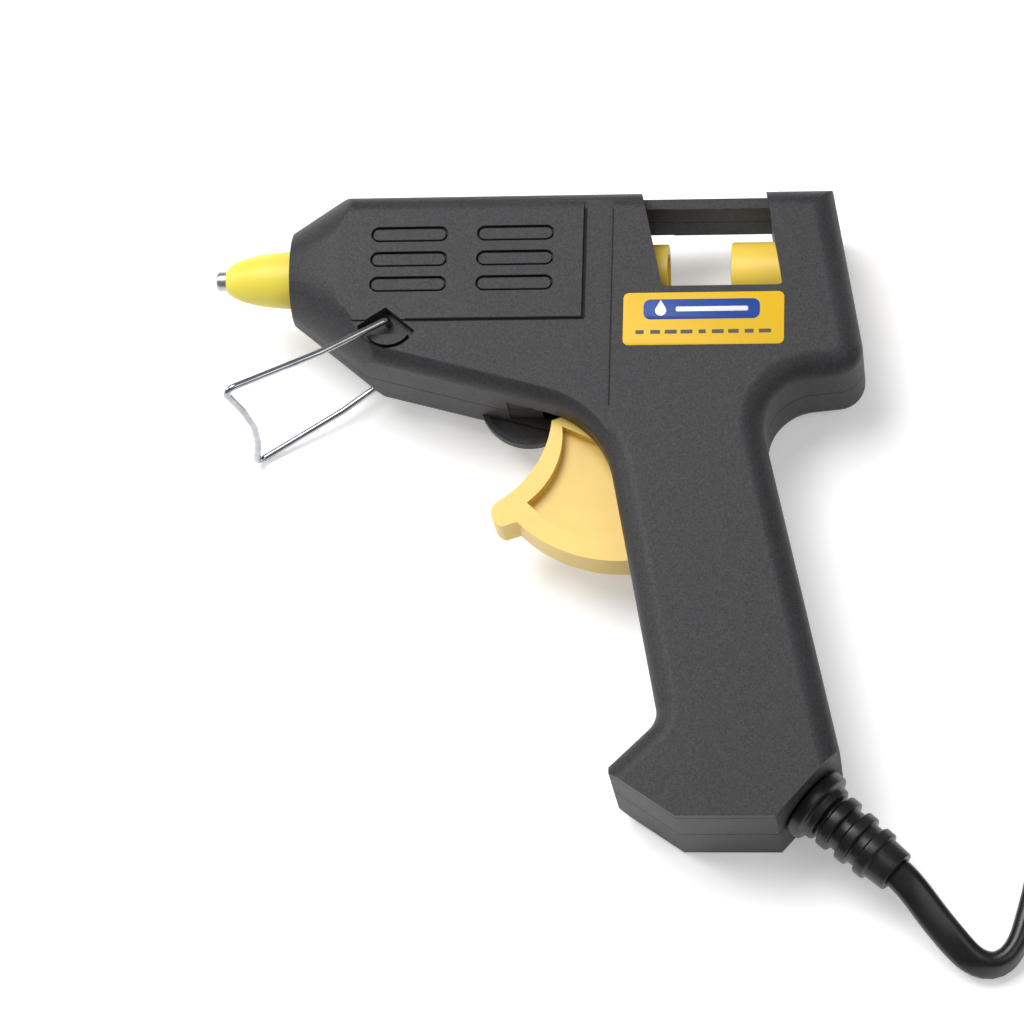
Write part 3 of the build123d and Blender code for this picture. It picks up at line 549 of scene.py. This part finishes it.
def plate(outline: Sequence[tuple[float, float]], low: float, high: float, edge: float,
          place: Callable[[float, float, float], Vector], name: str) -> bpy.types.Mesh:
    """A flat plate with a softened upper edge.

    Args:
        outline: points round the plate, anticlockwise, about its middle.
        low: underside.
        high: top.
        edge: size of the soft edge.
        place: turns plate coordinates into the shared frame.
        name: the mesh's name.

    Returns:
        The mesh.
    """
    shape = bmesh.new()
    reach = max(max(abs(x), abs(y)) for x, y in outline)
    loops = []
    for level, inset in ((low, 0.0), (high - edge, 0.0), (high - edge * 0.3, edge * 0.3),
                         (high, edge)):
        shrink = 1.0 - inset / reach
        loops.append([shape.verts.new(place(x * shrink, y * shrink, level))
                      for x, y in outline])
    count = len(outline)
    for under, over in zip(loops, loops[1:]):
        for i in range(count):
            j = (i + 1) % count
            shape.faces.new((under[i], under[j], over[j], over[i]))
    shape.faces.new(loops[-1])
    shape.faces.new(loops[0][::-1])
    return closed(shape, name, 40.0)


def turned(profile: Sequence[tuple[float, float]], lay: GunLay, name: str,
           steps: int = 72) -> bpy.types.Mesh:
    """A ring turned about the barrel's middle line.

    Args:
        profile: a closed loop of (place along the barrel, radius), in millimetres.
        lay: how the gun lies.
        name: the mesh's name.
        steps: faces round the ring.

    Returns:
        The mesh.
    """
    shape = bmesh.new()
    rings = []
    for step in range(steps):
        angle = 2 * math.pi * step / steps
        rings.append([shape.verts.new(lay.at(x, r * math.cos(angle), MID + r * math.sin(angle)))
                      for x, r in profile])
    count = len(profile)
    for here, there in zip(rings, rings[1:] + rings[:1]):
        for a in range(count):
            b = (a + 1) % count
            shape.faces.new((here[a], here[b], there[b], there[a]))
    return closed(shape, name, 40.0)


# ---------------------------------------------------------------- repeated pieces
@dataclass(frozen=True)
class BarRow:
    """A row of rounded bars, made by a Geometry Nodes tree."""

    count: int
    pitch: float
    length: float
    height: float
    thick: float
    corner: float
    shorter: float = 0.0
    seed: int = 0

    def tree(self, material: bpy.types.Material) -> bpy.types.NodeTree:
        """Builds the tree: a rounded bar on each point of a line.

        Args:
            material: what the bars are made of.

        Returns:
            The tree, with a named input for each size.
        """
        tree = bpy.data.node_groups.new("bar_row", "GeometryNodeTree")
        face = tree.interface
        face.new_socket("Geometry", in_out="INPUT", socket_type="NodeSocketGeometry")
        for name in ("Count", "Seed"):
            face.new_socket(name, in_out="INPUT", socket_type="NodeSocketInt")
        for name in ("Pitch", "Length", "Height", "Thick", "Corner", "Shorter"):
            face.new_socket(name, in_out="INPUT", socket_type="NodeSocketFloat")
        face.new_socket("Geometry", in_out="OUTPUT", socket_type="NodeSocketGeometry")

        def add(kind: str, **settings: Any) -> bpy.types.Node:
            """Adds a node with its settings."""
            node = tree.nodes.new(kind)
            for key, value in settings.items():
                setattr(node, key, value)
            return node

        def join(source: bpy.types.NodeSocket, target: bpy.types.NodeSocket) -> None:
            """Links two sockets."""
            tree.links.new(source, target)

        given = add("NodeGroupInput").outputs
        outline = add("GeometryNodeCurvePrimitiveQuadrilateral")
        join(given["Length"], outline.inputs["Width"])
        join(given["Height"], outline.inputs["Height"])
        fillet = add("GeometryNodeFilletCurve", mode="POLY")
        fillet.inputs["Count"].default_value = 5
        fillet.inputs["Limit Radius"].default_value = True
        join(outline.outputs[0], fillet.inputs["Curve"])
        join(given["Corner"], fillet.inputs["Radius"])
        rise = add("ShaderNodeCombineXYZ")
        join(given["Thick"], rise.inputs["Z"])
        line = add("GeometryNodeCurvePrimitiveLine")
        join(rise.outputs[0], line.inputs["End"])
        bar = add("GeometryNodeCurveToMesh")
        join(line.outputs[0], bar.inputs["Curve"])
        join(fillet.outputs[0], bar.inputs["Profile Curve"])
        bar.inputs["Fill Caps"].default_value = True
        step = add("ShaderNodeCombineXYZ")
        join(given["Pitch"], step.inputs["X"])
        row = add("GeometryNodeMeshLine")
        join(given["Count"], row.inputs["Count"])
        join(step.outputs[0], row.inputs["Offset"])
        chance = add("FunctionNodeRandomValue", data_type="FLOAT")
        join(given["Seed"], chance.inputs["Seed"])
        cut = add("ShaderNodeMath", operation="MULTIPLY")
        join(chance.outputs[1], cut.inputs[0])
        join(given["Shorter"], cut.inputs[1])
        left = add("ShaderNodeMath", operation="SUBTRACT")
        left.inputs[0].default_value = 1.0
        join(cut.outputs[0], left.inputs[1])
        size = add("ShaderNodeCombineXYZ")
        join(left.outputs[0], size.inputs["X"])
        size.inputs["Y"].default_value = 1.0
        size.inputs["Z"].default_value = 1.0
        spread = add("GeometryNodeInstanceOnPoints")
        join(row.outputs[0], spread.inputs["Points"])
        join(bar.outputs[0], spread.inputs["Instance"])
        join(size.outputs[0], spread.inputs["Scale"])
        real = add("GeometryNodeRealizeInstances")
        join(spread.outputs[0], real.inputs[0])
        dress = add("GeometryNodeSetMaterial")
        dress.inputs["Material"].default_value = material
        join(real.outputs[0], dress.inputs["Geometry"])
        end = add("NodeGroupOutput")
        join(dress.outputs[0], end.inputs[0])
        return tree

    def mesh(self, name: str, finish: Finish, place: Callable[[float, float, float], Vector]
             ) -> bpy.types.Mesh:
        """Bakes the row into a plain mesh and puts it in place.

        Args:
            name: the mesh's name.
            finish: what the bars are finished in.
            place: turns row coordinates into the shared frame.

        Returns:
            The mesh.
        """
        tree = self.tree(finish.material())
        carrier = bpy.data.objects.new(name + "_row", bpy.data.meshes.new(name + "_row"))
        bpy.context.scene.collection.objects.link(carrier)
        modifier = carrier.modifiers.new("bars", "NODES")
        modifier.node_group = tree
        sizes = {"Count": self.count, "Seed": self.seed, "Pitch": self.pitch,
                 "Length": self.length, "Height": self.height, "Thick": self.thick,
                 "Corner": self.corner, "Shorter": self.shorter}
        for item in tree.interface.items_tree:
            if item.in_out == "INPUT" and item.name in sizes:
                modifier[item.identifier] = sizes[item.name]
        evaluated = carrier.evaluated_get(bpy.context.evaluated_depsgraph_get())
        baked = bpy.data.meshes.new_from_object(evaluated)
        carrier.modifiers.clear()
        bpy.data.objects.remove(carrier)
        middle = self.pitch * (self.count - 1) / 2
        shape = bmesh.new()
        shape.from_mesh(baked)
        for vertex in shape.verts:
            vertex.co = place(vertex.co.x - middle, vertex.co.y, vertex.co.z)
        bpy.data.meshes.remove(baked)
        return closed(shape, name, 35.0)


# ---------------------------------------------------------------- sub-assemblies
@dataclass
class Label:
    """The yellow rating plate in the left side, with plain generic marks."""

    lay: GunLay
    middle: tuple[float, float] = (94.2, -14.0)
    length: float = 30.0
    height: float = 10.6
    corner: float = 1.1
    face: float = BODY_WIDTH
    thick: float = 0.4
    print_rise: float = 0.04
    # Place, length and height of the badge; place and size of the drop and the bar on it.
    badge: tuple[float, float, float, float] = (-0.35, 1.85, 21.6, 4.0)
    drop_at: tuple[float, float, float] = (-7.6, -0.25, 1.05)
    bar_at: tuple[float, float, float] = (1.9, 13.4, 0.95)
    line_at: tuple[float, float] = (-0.2, -2.65)

    def spot(self, x: float, y: float, z: float) -> Vector:
        """A place about the label's middle, in millimetres, in the shared frame."""
        return self.lay.at(self.middle[0] + x, self.middle[1] + y, z)

    def build(self) -> None:
        """Builds the plate, the badge, the bar and drop on it, and the dashes under it."""
        top = self.face + self.print_rise
        film = plate(rounded_corners(self.length - 0.1, self.height - 0.1, self.corner),
                     self.face - self.thick, top, 0.12, self.spot, "label_film")
        piece = new_piece("label_film", film, Finish.FILM, "body")
        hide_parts("label_plate")
        bx, by, width, height = self.badge
        rise = self.print_rise

        def on_badge(x: float, y: float, z: float) -> Vector:
            """A place about the badge's middle."""
            return self.spot(bx + x, by + y, z)

        badge = plate(rounded_corners(width, height, 1.3), top - rise, top + rise, 0.05,
                      on_badge, "label_badge")
        new_piece("label_badge", badge, Finish.BADGE, "body")
        drop_x, drop_y, drop_size = self.drop_at
        drop = plate(self.drop(drop_size), top, top + 2 * rise, 0.03,
                     lambda x, y, z: on_badge(x + drop_x, y + drop_y, z), "label_drop")
        new_piece("label_drop", drop, Finish.WHITE, "body")
        bar_x, bar_length, bar_height = self.bar_at
        bar = plate(rounded_corners(bar_length, bar_height, 0.3), top, top + 2 * rise, 0.03,
                    lambda x, y, z: on_badge(x + bar_x, y, z), "label_bar")
        new_piece("label_bar", bar, Finish.WHITE, "body")
        row = BarRow(9, 2.9, 2.3, 0.75, 2 * rise, 0.15, 0.45, 7)
        line_x, line_y = self.line_at
        dashes = row.mesh("label_dashes", Finish.INK,
                          lambda x, y, z: self.spot(x + line_x, y + line_y, top - rise + z))
        new_piece("label_dashes", dashes, Finish.INK, "body")

    @staticmethod
    def drop(size: float) -> list[tuple[float, float]]:
        """The outline of a drop of glue, anticlockwise."""
        round_part = [(size * math.cos(a), size * math.sin(a))
                      for a in (math.radians(30 - 12 * i) for i in range(21))]
        return [(0.0, size * 2.0)] + round_part[::-1]


@dataclass
class Nozzle:
    """The metal tip and the yellow rubber cover that slips over it."""

    lay: GunLay
    bore: float = 0.65
    # Place along the barrel and radius, from the cover's lip back into the housing.
    cover: tuple[tuple[float, float], ...] = (
        (1.95, 1.98), (2.05, 2.2), (2.75, 2.85), (3.7, 3.42), (4.9, 3.98), (6.3, 4.45),
        (8.9, 5.0), (12.0, 5.36), (15.0, 5.52), (17.2, 5.55), (17.2, 3.3), (3.2, 1.9))
    tip: tuple[tuple[float, float], ...] = (
        (0.12, 1.42), (0.3, 1.72), (0.7, 1.88), (2.4, 1.9), (3.4, 1.85), (9.0, 2.8),
        (22.0, 2.8))

    def build(self) -> None:
        """Builds the tip and its cover."""
        ring = ((0.12, self.bore),) + self.tip + ((22.0, self.bore),)
        tip = new_piece("nozzle_tip_turned", turned(ring, self.lay, "nozzle_tip_turned"),
                        Finish.TIP, "body")
        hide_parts("nozzle_tip")
        cover = new_piece("nozzle_cover_moulded",
                          turned(self.cover, self.lay, "nozzle_cover_moulded"),
                          Finish.COVER, "body")
        smooth = cover.modifiers.new("smooth", "SUBSURF")
        smooth.levels = smooth.render_levels = 1
        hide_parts("nozzle_cover")


@dataclass
class VentLouvres:
    """A raised louvre in each of the six vents, with a groove left all round it."""

    lay: GunLay
    columns: tuple[float, float] = (38.65, 58.7)
    middle: float = -1.25
    pitch: float = 5.05
    length: float = 13.85
    height: float = 2.3
    floor: float = 23.7
    thick: float = 1.08

    def build(self) -> None:
        """Builds both columns of louvres."""
        row = BarRow(3, self.pitch, self.height, self.length, self.thick, self.height / 2 - 0.01)
        for number, column in enumerate(self.columns):
            name = f"vent_louvres_{number + 1}"

            def spot(x: float, y: float, z: float, column: float = column) -> Vector:
                """A place in the column, in the shared frame."""
                return self.lay.at(column + y, self.middle - x, self.floor + z)

            piece = new_piece(name, row.mesh(name, Finish.HOUSING, spot), Finish.HOUSING,
                              "body")
            edge = piece.modifiers.new("soft_edges", "BEVEL")
            edge.width, edge.segments, edge.limit_method = 0.00022, 3, "ANGLE"


@dataclass
class MainsCord:
    """The flat cord: out of the strain relief, one tight bend, then its coil and plug."""

    start: Vector
    width: float = 0.0058
    thick: float = 0.0036
    length: float = 1.51
    turns_per_layer: int = 3
    steps: int = 16
    outer: float = 0.0400
    inner: float = 0.0223
    lie: float = 0.00195
    layer: float = 0.00385
    around: int = 20
    # Across the table from the mouth, and above it.
    run: tuple[tuple[float, float, float], ...] = (
        (0.0076, -0.0092, 0.0078), (0.0140, -0.0159, 0.0036), (0.0202, -0.0141, 0.0030),
        (0.0236, -0.0024, 0.0030), (0.0251, 0.0056, 0.0026))
    coil_at: tuple[float, float] = (0.0691, 0.0181)
    last_turn: float = 0.0310
    ending: tuple[tuple[float, float, float], ...] = (
        (0.0, 0.012, 0.00965), (0.0009, 0.0275, 0.0093), (0.0015, 0.0325, 0.0072))
    top_layer: float = 0.00965
    plug_from_coil: float = 0.0365
    plug_height: float = 0.0068
    # How far along the cord it turns onto its edge, and back onto its flat.
    onto_edge: tuple[float, float] = (0.010, 0.032)
    onto_flat: tuple[float, float] = (0.040, 0.062)
    closest: float = 0.0007

    def route(self, out: Vector) -> list[Vector]:
        """The spline's control points.

        Args:
            out: the first point past the mouth, on the strain relief's line.

        Returns:
            The points from the mouth to the plug.
        """
        flat = Vector((self.start.x, self.start.y, 0.0))
        points = [self.start.copy(), out] + [flat + Vector(step) for step in self.run]
        centre = flat + Vector((*self.coil_at, 0.0))
        layers = ((self.outer, self.inner, self.turns_per_layer, 0),
                  (self.inner, self.outer, self.turns_per_layer, 1),
                  (self.outer, self.last_turn, 1, 2))
        for first, last, turns, level in layers:
            count = turns * self.steps
            for step in range(count):
                share = step / count
                angle = math.pi - 2 * math.pi * turns * share
                radius = first + (last - first) * share
                climb = min(step / 3, 1.0) if level else 1.0
                height = self.lie + (level - 1 + climb) * self.layer
                points.append(centre + Vector((radius * math.cos(angle),
                                               radius * math.sin(angle), height)))
        leave = centre + Vector((-self.last_turn, 0.0, 0.0))
        points.append(leave + Vector((0.0, 0.0, self.top_layer)))
        points += [leave + Vector(step) for step in self.ending]
        points.append(leave + Vector((self.ending[-1][0], self.plug_from_coil,
                                      self.plug_height)))
        return points

    def line(self, points: Sequence[Vector]) -> list[Vector]:
        """The smooth line that the spline makes of its control points."""
        curve = bpy.data.curves.new("cord_line", "CURVE")
        curve.dimensions = "3D"
        curve.resolution_u = 10
        spline = curve.splines.new("NURBS")
        spline.points.add(len(points) - 1)
        for knot, point in zip(spline.points, points):
            knot.co = (*point, 1.0)
        spline.order_u = 3
        spline.use_endpoint_u = True
        holder = bpy.data.objects.new("cord_line", curve)
        bpy.context.scene.collection.objects.link(holder)
        evaluated = holder.evaluated_get(bpy.context.evaluated_depsgraph_get())
        mesh = bpy.data.meshes.new_from_object(evaluated)
        found = [vertex.co.copy() for vertex in mesh.vertices]
        bpy.data.objects.remove(holder)
        bpy.data.meshes.remove(mesh)
        kept = [found[0]]
        for point in found[1:]:
            if (point - kept[-1]).length > self.closest:
                kept.append(point)
        return kept

    @staticmethod
    def eased(value: float, low: float, high: float) -> float:
        """0 below low, 1 above high, and smooth between."""
        share = min(max((value - low) / (high - low), 0.0), 1.0)
        return share * share * (3 - 2 * share)

    def section(self) -> list[tuple[float, float]]:
        """The cord's outline: two flats and two round edges."""
        half, radius = self.width / 2, self.thick / 2
        points = []
        for step in range(self.around):
            angle = 2 * math.pi * (step + 0.5) / self.around
            side = 1 if math.cos(angle) > 0 else -1
            x = side * (half - radius) + radius * math.cos(angle)
            y = radius * math.sin(angle)
            points.append((x, y))
        return points

    def tube(self, line: Sequence[Vector], name: str) -> bpy.types.Mesh:
        """Sweeps the outline along the line, turned on its edge through the bend.

        Args:
            line: the cord's middle line.
            name: the mesh's name.

        Returns:
            The mesh, with the distance along the cord in its UV map.
        """
        shape = bmesh.new()
        mapping = shape.loops.layers.uv.new("along")
        outline = self.section()
        gone, rings, marks = 0.0, [], []
        up = Vector((0.0, 0.0, 1.0))
        for i, point in enumerate(line):
            before, after = line[max(i - 1, 0)], line[min(i + 1, len(line) - 1)]
            ahead = (after - before).normalized()
            if i:
                gone += (point - line[i - 1]).length
            side = ahead.cross(up).normalized()
            top = side.cross(ahead)
            stand = self.eased(gone, *self.onto_edge) * (1 - self.eased(gone, *self.onto_flat))
            turn = Matrix.Rotation(stand * math.pi / 2, 3, ahead)
            wide, high = turn @ side, turn @ top
            rings.append([shape.verts.new(point + wide * x + high * y) for x, y in outline])
            marks.append(gone)
        count = len(outline)
        for i, (here, there) in enumerate(zip(rings, rings[1:])):
            for a in range(count):
                b = (a + 1) % count
                face = shape.faces.new((here[a], there[a], there[b], here[b]))
                face.smooth = True
                for loop, (u, v) in zip(face.loops, ((i, a), (i + 1, a), (i + 1, a + 1),
                                                     (i, a + 1))):
                    loop[mapping].uv = (marks[u], v / count)
        shape.faces.new(rings[0])
        shape.faces.new(rings[-1][::-1])
        return closed(shape, name, 60.0)

    def build(self, out: Vector, carried: Sequence[Any]) -> None:
        """Args:
            out: the first point past the mouth.
            carried: the pieces at its far end; not used.
        """
        line = self.line(self.route(out))
        piece = new_piece("mains_cord", self.tube(line, "mains_cord"), Finish.CORD,
                          "body")
        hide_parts("cord", "cord_coil", "cord_end")


@dataclass
class Plug:
    """Grip ribs on the moulded plug."""

    count: int = 6
    pitch: float = 0.0026
    length: float = 0.0012
    across: float = 0.013
    thick: float = 0.0006
    corner: float = 0.0005
    sunk: float = 0.0002
    from_cord_end: float = 0.024

    def build(self) -> bpy.types.Object:
        """Builds the ribs on the plug's upper face.

        Returns:
            The ribs' object.
        """
        low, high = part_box("plug_body")
        middle_x, start = (low[0] + high[0]) / 2, low[1] + self.from_cord_end
        face = high[2] - self.sunk
        row = BarRow(self.count, self.pitch, self.length, self.across, self.thick, self.corner)
        ribs = row.mesh("plug_grip_ribs", Finish.CORD,
                        lambda x, y, z: Vector((middle_x + y, start + x, face + z)))
        return new_piece("plug_grip_ribs", ribs, Finish.CORD, "body")


@dataclass
class DressedNodes:
    """The carried-over parts, each with its finish."""

    nodes: dict[str, bpy.types.Object]

    def build(self) -> None:
        """Gives every node its material."""
        for name, finish in NODE_FINISHES.items():
            node = self.nodes[name]
            material = finish.material()
            if not node.material_slots:
                node.data.materials.append(material)
            for slot in node.material_slots:
                slot.material = material
            LOG.info("%s: %s", name, finish.value.name)


@dataclass
class SoftEdges:
    """Parts whose moulded edges are rounded finer than their solids show."""

    nodes: dict[str, bpy.types.Object]

    def build(self, name: str, body: str, slot: str, width: float, segments: int,
              angle: float) -> bpy.types.Object:
        """Makes a copy of a part with rounded edges, which stands for it.

        Args:
            name: the part's node.
            body: the body that it moves with.
            slot: the record's material slot; not used.
            width: size of the rounding.
            segments: steps in the rounding.
            angle: edges sharper than this many degrees are rounded.

        Returns:
            The copy.
        """
        shape = bmesh.new()
        shape.from_mesh(self.nodes[name].data)
        bmesh.ops.remove_doubles(shape, verts=shape.verts[:], dist=2e-6)
        bmesh.ops.dissolve_limit(shape, angle_limit=math.radians(0.6), verts=shape.verts[:],
                                 edges=shape.edges[:])
        mesh = bpy.data.meshes.new(name + "_moulded")
        shape.to_mesh(mesh)
        shape.free()
        mesh.shade_smooth()
        piece = new_piece(name + "_moulded", mesh, NODE_FINISHES[name], body)
        soft = piece.modifiers.new("soft_edges", "BEVEL")
        soft.width, soft.segments = width, segments
        soft.limit_method, soft.angle_limit = "ANGLE", math.radians(angle)
        soft.use_clamp_overlap, soft.harden_normals = True, False
        soft.miter_outer = "MITER_ARC"
        even = piece.modifiers.new("even_faces", "WEIGHTED_NORMAL")
        even.mode, even.weight, even.keep_sharp = "FACE_AREA", 90, False
        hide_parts(name)
        return piece


@dataclass
class Studio:
    """Floor, lights and camera."""

    lay: GunLay
    target: tuple[float, float, float] = (58.24, -47.32, MID)
    sideways: float = 6.8
    below: float = 19.8
    roll: float = 1.85
    distance: float = 0.7905
    lens: float = 149.4
    sensor: float = 36.0
    surround: float = 0.24
    # Name, place from the middle of the gun, watts and side length.
    lamps: tuple[tuple[str, tuple[float, float, float], float, float], ...] = (
        ("key", (-0.35, 0.45, 1.25), 17.0, 0.8),
        ("fill", (0.9, -0.3, 1.0), 3.5, 0.8),
        ("rim", (-1.0, 0.3, 0.5), 3.5, 0.4))

    def floor(self) -> None:
        """A plain pale floor."""
        mesh = bpy.data.meshes.new("studio_floor")
        reach = 4.0
        mesh.from_pydata([(-reach, -reach, 0), (reach, -reach, 0), (reach, reach, 0),
                          (-reach, reach, 0)], [], [(0, 1, 2, 3)])
        pale = Surface("pale_floor")
        tone = pale.noise(3.0)
        pale.set(Base_Color=pale.between(tone, (0.90, 0.90, 0.90), (0.92, 0.92, 0.92)),
                 Roughness=0.75, Emission_Color=(1.0, 1.0, 1.0, 1.0), Emission_Strength=0.3)
        mesh.materials.append(pale.material)
        floor = bpy.data.objects.new("studio_floor", mesh)
        bpy.context.scene.collection.objects.link(floor)

    def lamp(self, name: str, place: Vector, power: float, size: float, aim: Vector) -> None:
        """A soft square light.

        Args:
            name: the light's name.
            place: where it stands.
            power: watts.
            size: side length.
            aim: what it points at.
        """
        light = bpy.data.lights.new(name, "AREA")
        light.energy, light.size = power, size
        lamp = bpy.data.objects.new(name, light)
        lamp.matrix_world = (Matrix.Translation(place)
                             @ (aim - place).to_track_quat("-Z", "Y").to_matrix().to_4x4())
        bpy.context.scene.collection.objects.link(lamp)

    def lights(self) -> None:
        """A big light overhead, a fill from the nozzle's side and a white surround."""
        aim = self.lay.at(*self.target)
        for name, away, power, size in self.lamps:
            self.lamp(name, aim + Vector(away), power, size, aim)
        world = bpy.data.worlds.new("surround")
        world.use_nodes = True
        sky = world.node_tree.nodes["Background"]
        sky.inputs["Color"].default_value = (1.0, 1.0, 1.0, 1.0)
        sky.inputs["Strength"].default_value = self.surround
        bpy.context.scene.world = world

    def camera(self) -> None:
        """A long lens above the gun's left side, a little from below the grip."""
        away = self.lay.way(math.tan(math.radians(self.sideways)),
                            -math.tan(math.radians(self.below)), 1.0)
        target = self.lay.at(*self.target)
        place = target + away * self.distance
        right = (-away).cross(self.lay.way(0, 1, 0)).normalized()
        top = right.cross(-away)
        turn = Matrix((right, top, away)).transposed().to_4x4()
        roll = Matrix.Rotation(math.radians(self.roll), 4, "Z")
        data = bpy.data.cameras.new("camera")
        data.lens, data.sensor_width = self.lens, self.sensor
        data.clip_start, data.clip_end = 0.05, 20.0
        camera = bpy.data.objects.new("camera", data)
        camera.matrix_world = Matrix.Translation(place) @ turn @ roll
        bpy.context.scene.collection.objects.link(camera)
        bpy.context.scene.camera = camera

    def build(self) -> None:
        """Sets the studio up."""
        view = bpy.context.scene.view_settings
        view.view_transform, view.look = "Standard", "None"
        self.floor()
        self.lights()
        self.camera()


def main() -> None:
    """Builds the gun's looks on its frame."""
    logging.basicConfig(level=logging.INFO, format="%(name)s %(message)s")
    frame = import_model()
    lay = GunLay(frame["joints"])
    GunLay.resting = lay
    Studio(lay).build()
    nodes = frame["nodes"]
    DressedNodes(nodes).build()
    soft = SoftEdges(nodes)
    for name, body, slot, width, segments, angle in SOFT_PARTS:
        soft.build(name, body, slot, width, segments, angle)
    grip = Plug().build()
    MainsCord(CORD_MOUTH).build(CORD_OUT, [nodes["plug_body"], nodes["plug_pins"], grip])
    Label(lay).build()
    Nozzle(lay).build()
    VentLouvres(lay).build()


if __name__ == "__main__":
    main()
